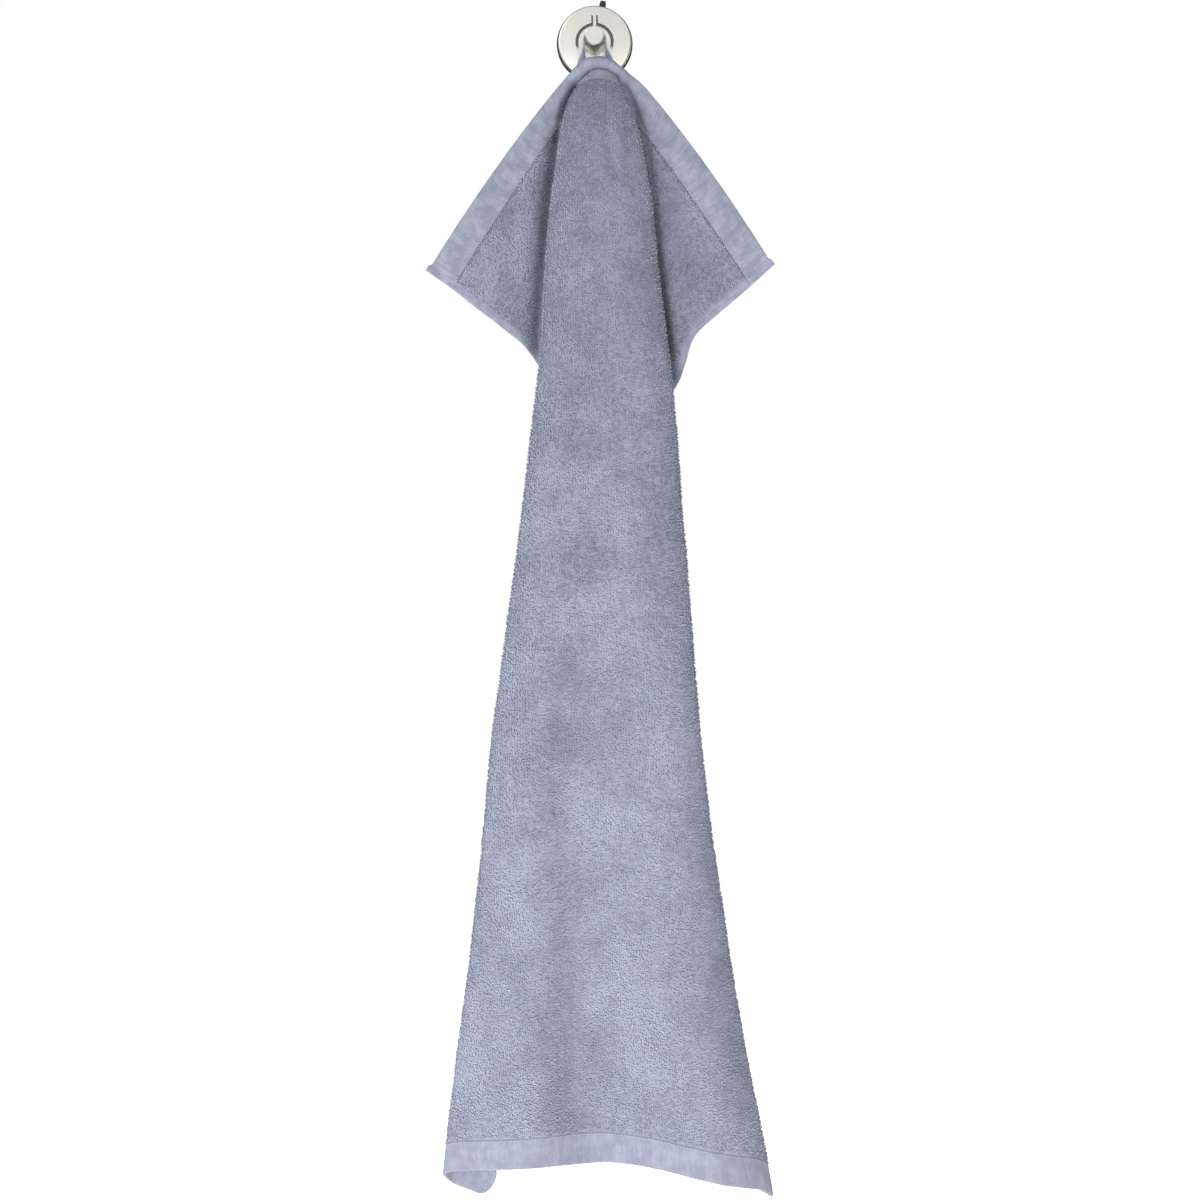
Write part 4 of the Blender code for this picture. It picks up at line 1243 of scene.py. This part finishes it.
def disc_look():
    """The disc: the pressed ring and slots carry painted shade, over the ring's upper part only. The
    outermost millimetre, where the edge turns back, carries painted shade too."""
    look, x, _, z, radius, steel = steel_look("satin_steel", (0.64, 0.626, 0.585), 0.27, 0.0)
    # painted shade in the pressed ring, over its upper part, and in the slots
    inner, outer = GROOVE_INNER * MM, GROOVE_OUTER * MM
    ring = look.ease(radius, inner - 0.0004, inner + 0.0003)
    ring = ring * (1.0 - look.ease(radius, outer - 0.0003, outer + 0.0004))
    ring = ring * look.ease(z, -0.0075, -0.0025)
    bridge = (1.0 - look.ease(abs(x), 0.0013, 0.0017)) * look.ease(z, 0.0, 0.001)
    gap = abs(abs(x) - SLOT_OFFSET * MM)
    slot = (1.0 - look.ease(gap, 0.0004, 0.0008)) * look.ease(z, inner - 0.0004, inner)
    slot = slot * (1.0 - look.ease(z, SLOT_TOP * MM - 0.0004, SLOT_TOP * MM + 0.0002))
    pressed = (ring * (1.0 - bridge)).most(slot)
    # painted shade on the outermost millimetre, where the edge turns back
    edge = look.ease(radius, (COVER_RADIUS - 1.4) * MM, (COVER_RADIUS - 0.6) * MM, 0.0, 0.8)
    look.set("Base Color", look.mix((pressed * 0.93).most(edge), steel, STEEL_PAINTED_SHADE))
    return look.material


def peg_look():
    """The peg: its turned face is bright, and behind the face its underside carries a painted dark
    reflection, most at the wall. The painted share is the product of three soft steps, in radius, height
    and depth."""
    look, _, y, z, radius, steel = steel_look("peg_steel", (0.58, 0.57, 0.545), 0.30, KNOB_DROP)
    behind = look.ease(radius, KNOB_FACE_RADIUS * MM - 0.0004, KNOB_FACE_RADIUS * MM + 0.0002)
    under = look.ease(z, -KNOB_DROP * MM + 0.004, -KNOB_DROP * MM - 0.003)
    fades = 1.0 - look.ease(y, -0.026, -0.016, 0.0, 0.85)
    # painted dark reflection under the peg
    look.set("Base Color", look.mix(behind * under * fades * 0.8, steel, STEEL_PAINTED_SHADE))
    return look.material


def rubber_look(name):
    """Matt moulded rubber: dust where a slow noise is high, over a faint fine grain."""
    look = Look(name, (0.018, 0.018, 0.02), 0.7)
    place = look.place()
    dust = look.ease(look.noise(place, 0.004, 3.0), 0.5, 0.8)
    look.set("Base Color", look.mix(dust * 0.35, (0.014, 0.014, 0.016, 1.0), (0.05, 0.05, 0.052, 1.0)))
    look.set("Roughness", look.ease(look.noise(place, 0.0012), 0.3, 0.7, 0.6, 0.82))
    look.bump(look.noise(place, 0.0006), 0.0001)
    return look.material


satin_steel = disc_look()
peg_steel = peg_look()
black_rubber = rubber_look("black_rubber")


# %% Turned shapes
def arc(centre, radius, start, stop, steps):
    """Points (radius, depth) round part of a circle, angles in degrees."""
    angles = np.radians(np.linspace(start, stop, steps))
    return np.stack([centre[0] + radius * np.cos(angles), centre[1] + radius * np.sin(angles)], axis=1)


def turned_piece(name, profile, angles, look, depth=None, drop=0.0, outline=None):
    """A profile of (radius, depth) from the back's middle to the front's middle, carried round the
    y axis: x and z are the radius times the cosine and the sine of the angle. outline(angle,
    radius) may scale the radius, and depth(radius, angle, depth) may change the depth."""
    radius, out = profile[:, :1] + 0 * angles[None, :], profile[:, 1:] + 0 * angles[None, :]
    turn = angles[None, :] + 0 * radius
    if outline is not None:
        radius = radius * outline(turn, radius)
    if depth is not None:
        out = depth(radius, turn, out)
    points = np.stack([radius * np.cos(turn), -out, radius * np.sin(turn) - drop], axis=-1)
    rows, columns = radius.shape
    poles = np.array([[0.0, -profile[0, 1], -drop], [0.0, -out[-1].mean(), -drop]])
    count = rows * columns
    ring = np.arange(columns)
    beside = (ring + 1) % columns
    last = count - columns
    back = np.stack([beside, ring, np.full(columns, count)], axis=1)
    front = np.stack([ring + last, beside + last, np.full(columns, count + 1)], axis=1)
    side = quads_of(rows, columns, closed=True)[:, ::-1]
    every = np.concatenate([points.reshape(-1, 3), poles]) * MM
    return make_piece(name, every, [side, back, front], look)


# %% Build the disc
DOME_POWER = 2.4
RING_SOFT = 0.25
SLOT_SOFT = 0.2
END_SOFT = 0.3
LOWER_RING = 0.25


def dome(radius):
    """The disc's face: a shallow dome that falls with a power of the radius."""
    return COVER_FACE - (COVER_FACE - COVER_EDGE) * (radius / COVER_RADIUS) ** DOME_POWER


def cover_depth(radius, turn, out):
    """The ring is pressed in over its upper part, and bridged at the top between two slots: each
    is a product of soft steps, and the deeper of ring and slot is taken off the face."""
    x, z = radius * np.cos(turn), radius * np.sin(turn)
    front = out > COVER_BACK + 1.0
    ring = step_up(radius, GROOVE_INNER - RING_SOFT, GROOVE_INNER + RING_SOFT)
    ring = ring - step_up(radius, GROOVE_OUTER - RING_SOFT, GROOVE_OUTER + RING_SOFT)
    shallow = LOWER_RING + (1 - LOWER_RING) * step_up(z, -6.0, 4.0)
    middle = 1 - step_up(np.abs(x), SLOT_OFFSET - SLOT_SOFT, SLOT_OFFSET + SLOT_SOFT)
    bridge = 1 - middle * (z > 0)
    aside = np.abs(np.abs(x) - SLOT_OFFSET)
    slot = 1 - step_up(aside, SLOT_WIDTH / 2 - SLOT_SOFT, SLOT_WIDTH / 2 + SLOT_SOFT)
    slot = slot * (1 - step_up(z, SLOT_TOP - END_SOFT, SLOT_TOP + END_SOFT))
    slot = slot * step_up(z, GROOVE_INNER, GROOVE_INNER + 2 * END_SOFT)
    pressed = np.maximum(ring * shallow * bridge, slot)
    return out - np.where(front & (radius < SLOT_TOP + 3), pressed * GROOVE_DEPTH, 0.0)


def build_cover():
    """The disc: a flat back, a quarter-round rim and the dome, with finer steps where it is pressed."""
    rim = arc((COVER_RADIUS - COVER_ROUNDING, COVER_EDGE - COVER_ROUNDING), COVER_ROUNDING, 0, 80, 10)
    radii = np.concatenate([np.linspace(COVER_RADIUS - 1.2, 26.0, 12), np.linspace(25.8, 18.0, 16),
                            np.linspace(17.8, 14.5, 26), np.linspace(14.0, 1.0, 12)])
    face = np.stack([radii, dome(radii)], axis=1)
    back = np.array([[4.0, COVER_BACK], [COVER_RADIUS - 1.0, COVER_BACK], [COVER_RADIUS - 0.2, COVER_BACK],
                     [COVER_RADIUS, COVER_BACK + 0.2]])
    profile = np.concatenate([back, rim, face[face[:, 0] < rim[-1, 0] - 0.2]])
    even = np.linspace(0, 2 * math.pi, 256, endpoint=False)
    top = np.radians(np.linspace(79, 101, 90))
    angles = np.unique(np.concatenate([even[(even < top[0] - 0.01) | (even > top[-1] + 0.01)], top]))
    return turned_piece("steel_cover", profile, angles, satin_steel, cover_depth)


cover = build_cover()
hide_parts("cover_disc")


# %% Build the peg
def build_peg():
    """The peg: a straight wall from the disc to a quarter-round edge, and a flat face."""
    edge = KNOB_RADIUS - KNOB_FACE_RADIUS
    tip = arc((KNOB_FACE_RADIUS, KNOB_TIP - edge), edge, 0, 90, 12)
    wall = np.linspace(KNOB_SEAT + 0.3, KNOB_TIP - edge - 0.5, 10)
    wall = np.stack([np.full_like(wall, KNOB_RADIUS), wall], axis=1)
    root = np.array([[4.0, KNOB_SEAT], [KNOB_RADIUS - 0.3, KNOB_SEAT]])
    face = np.stack([np.linspace(KNOB_FACE_RADIUS - 0.5, 0.8, 8), np.full(8, KNOB_TIP)], axis=1)
    angles = np.linspace(0, 2 * math.pi, 128, endpoint=False)
    profile = np.concatenate([root, wall, tip, face])
    return turned_piece("steel_peg", profile, angles, peg_steel, drop=KNOB_DROP)


peg = build_peg()
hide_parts("knob")

# %% Build the pad
PAD_ROUNDING = 0.6


def build_pad():
    """The pad: a thin disc with a rounded front edge, whose outline reaches out in a tab."""
    rim = arc((PAD_RADIUS - PAD_ROUNDING, PAD_THICKNESS - PAD_ROUNDING), PAD_ROUNDING, 0, 90, 8)
    inner = np.array([[PAD_RADIUS - 1.2, PAD_THICKNESS], [PAD_RADIUS - 3.0, PAD_THICKNESS],
                      [10.0, PAD_THICKNESS]])
    back = np.array([[10.0, 0.0], [PAD_RADIUS - 0.4, 0.0], [PAD_RADIUS, 0.3]])
    middle = math.atan2(1.0, TAB_OFFSET / PAD_RADIUS)

    def tab(turn, radius):
        """1, and more over the tab, by the square root of one less a fourth power across it."""
        x = radius * np.cos(turn)
        out = np.clip(1 - ((x - TAB_OFFSET) / (TAB_WIDTH / 2)) ** 4, 0.0, 1.0) ** 0.5
        reach = (TAB_TOP - PAD_RADIUS) * out * (np.sin(turn) > 0) * (radius > PAD_RADIUS - 2)
        return 1 + reach / PAD_RADIUS

    even = np.linspace(0, 2 * math.pi, 192, endpoint=False)
    near = middle + np.linspace(-0.14, 0.14, 60)
    angles = np.unique(np.concatenate([even[np.abs(even - middle) > 0.15], near]))
    profile = np.concatenate([back, rim, inner])
    return turned_piece("rubber_pad", profile, angles, black_rubber, outline=tab)


pad = build_pad()
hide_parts("backing_pad")

# %% [markdown]

# %% [markdown]
# ## Floor and light
# A white floor and a white sky give the even light of a photographer's tent. The key light
# is large and stands to the front left, so folds that face right fall into soft shade. A
# softbox stands low, so the towel is brightest at its foot, and a long card in front gives
# the steel something to mirror.

# %% Lay the floor
FLOOR_HEIGHT = -1.35
FLOOR_SIZE = 12.0
FLOOR_GLOW = 0.7
WHITE = (1.0, 1.0, 1.0, 1.0)

floor_mesh = bpy.data.meshes.new("floor")
corners = [(-FLOOR_SIZE, -FLOOR_SIZE, FLOOR_HEIGHT), (FLOOR_SIZE, -FLOOR_SIZE, FLOOR_HEIGHT),
           (FLOOR_SIZE, FLOOR_SIZE, FLOOR_HEIGHT), (-FLOOR_SIZE, FLOOR_SIZE, FLOOR_HEIGHT)]
floor_mesh.from_pydata(corners, [], [(0, 1, 2, 3)])
floor = bpy.data.objects.new("floor", floor_mesh)
bpy.context.scene.collection.objects.link(floor)
floor_look = Look("pale_floor", (0.9, 0.9, 0.9), 0.9, Emission_Color=WHITE,
                  Emission_Strength=FLOOR_GLOW)
floor_cloud = floor_look.noise(floor_look.place(), 0.5)
floor_tone = floor_look.mix(floor_cloud, (0.89, 0.89, 0.89, 1.0), (0.91, 0.91, 0.91, 1.0))
floor_look.set("Base Color", floor_tone)
floor_mesh.materials.append(floor_look.material)
print("floor at", FLOOR_HEIGHT)

# %% [markdown]
# ## Sky
# The camera and the steel see a bright white sky, as they would see the tent's walls. The
# cloth is lit by a weaker one, which leaves shade in its folds. A Light Path node tells the
# two kinds of ray apart.

# %% Hang the sky
SKY_LIGHT = 0.41
SKY_IN_STEEL = 1.0

world = bpy.data.worlds.new("white tent")
world.use_nodes = True
tent = world.node_tree.nodes
sky, seen = tent["Background"], tent.new("ShaderNodeBackground")
for light, strength in ((sky, SKY_LIGHT), (seen, SKY_IN_STEEL)):
    light.inputs["Color"].default_value = WHITE
    light.inputs["Strength"].default_value = strength
rays, either = tent.new("ShaderNodeLightPath"), tent.new("ShaderNodeMixShader")
direct = tent.new("ShaderNodeMath")
direct.operation = "MAXIMUM"
for start, stop in (
    (rays.outputs["Is Camera Ray"], direct.inputs[0]),
    (rays.outputs["Is Glossy Ray"], direct.inputs[1]),
    (direct.outputs[0], either.inputs[0]),
    (sky.outputs[0], either.inputs[1]),
    (seen.outputs[0], either.inputs[2]),
    (either.outputs[0], tent["World Output"].inputs["Surface"]),
):
    world.node_tree.links.new(start, stop)
bpy.context.scene.world = world
bpy.context.scene.view_settings.view_transform = "Standard"
print("sky", SKY_LIGHT, "and", SKY_IN_STEEL, "in steel")

# %% Light the stage
KEY_STRENGTH = 0.75
KEY_ANGLE = 35.0
KEY_TILT = 62
KEY_TURN = -42
Lamp = namedtuple("Lamp", "name place aim wide high watts")
LAMPS = (
    Lamp("low_softbox", (-0.30, -1.05, -1.10), (0.0, 0.0, -0.80), 0.5, 0.4, 9.0),
    Lamp("front_card", (0.0, -2.6, -0.05), (0.0, 0.0, 0.0), 2.0, 0.7, 11.0),
    Lamp("back_fill", (0.6, 1.8, 0.1), (0.0, 0.0, -0.5), 1.5, 1.5, 18.0),
)

key = bpy.data.lights.new("key", "SUN")
key.energy = KEY_STRENGTH
key.angle = math.radians(KEY_ANGLE)
key_light = bpy.data.objects.new("key", key)
key_light.rotation_euler = (math.radians(KEY_TILT), 0.0, math.radians(KEY_TURN))
bpy.context.scene.collection.objects.link(key_light)


def add_lamp(lamp):
    """A rectangle of light that faces its aim. The camera doesn't see it."""
    data = bpy.data.lights.new(lamp.name, "AREA")
    data.shape = "RECTANGLE"
    data.size, data.size_y, data.energy = lamp.wide, lamp.high, lamp.watts
    light = bpy.data.objects.new(lamp.name, data)
    light.location = lamp.place
    light.rotation_euler = (Vector(lamp.aim) - Vector(lamp.place)).to_track_quat("-Z", "Y").to_euler()
    light.visible_camera = False
    bpy.context.scene.collection.objects.link(light)


for lamp in LAMPS:
    add_lamp(lamp)
print("lights", 1 + len(LAMPS))
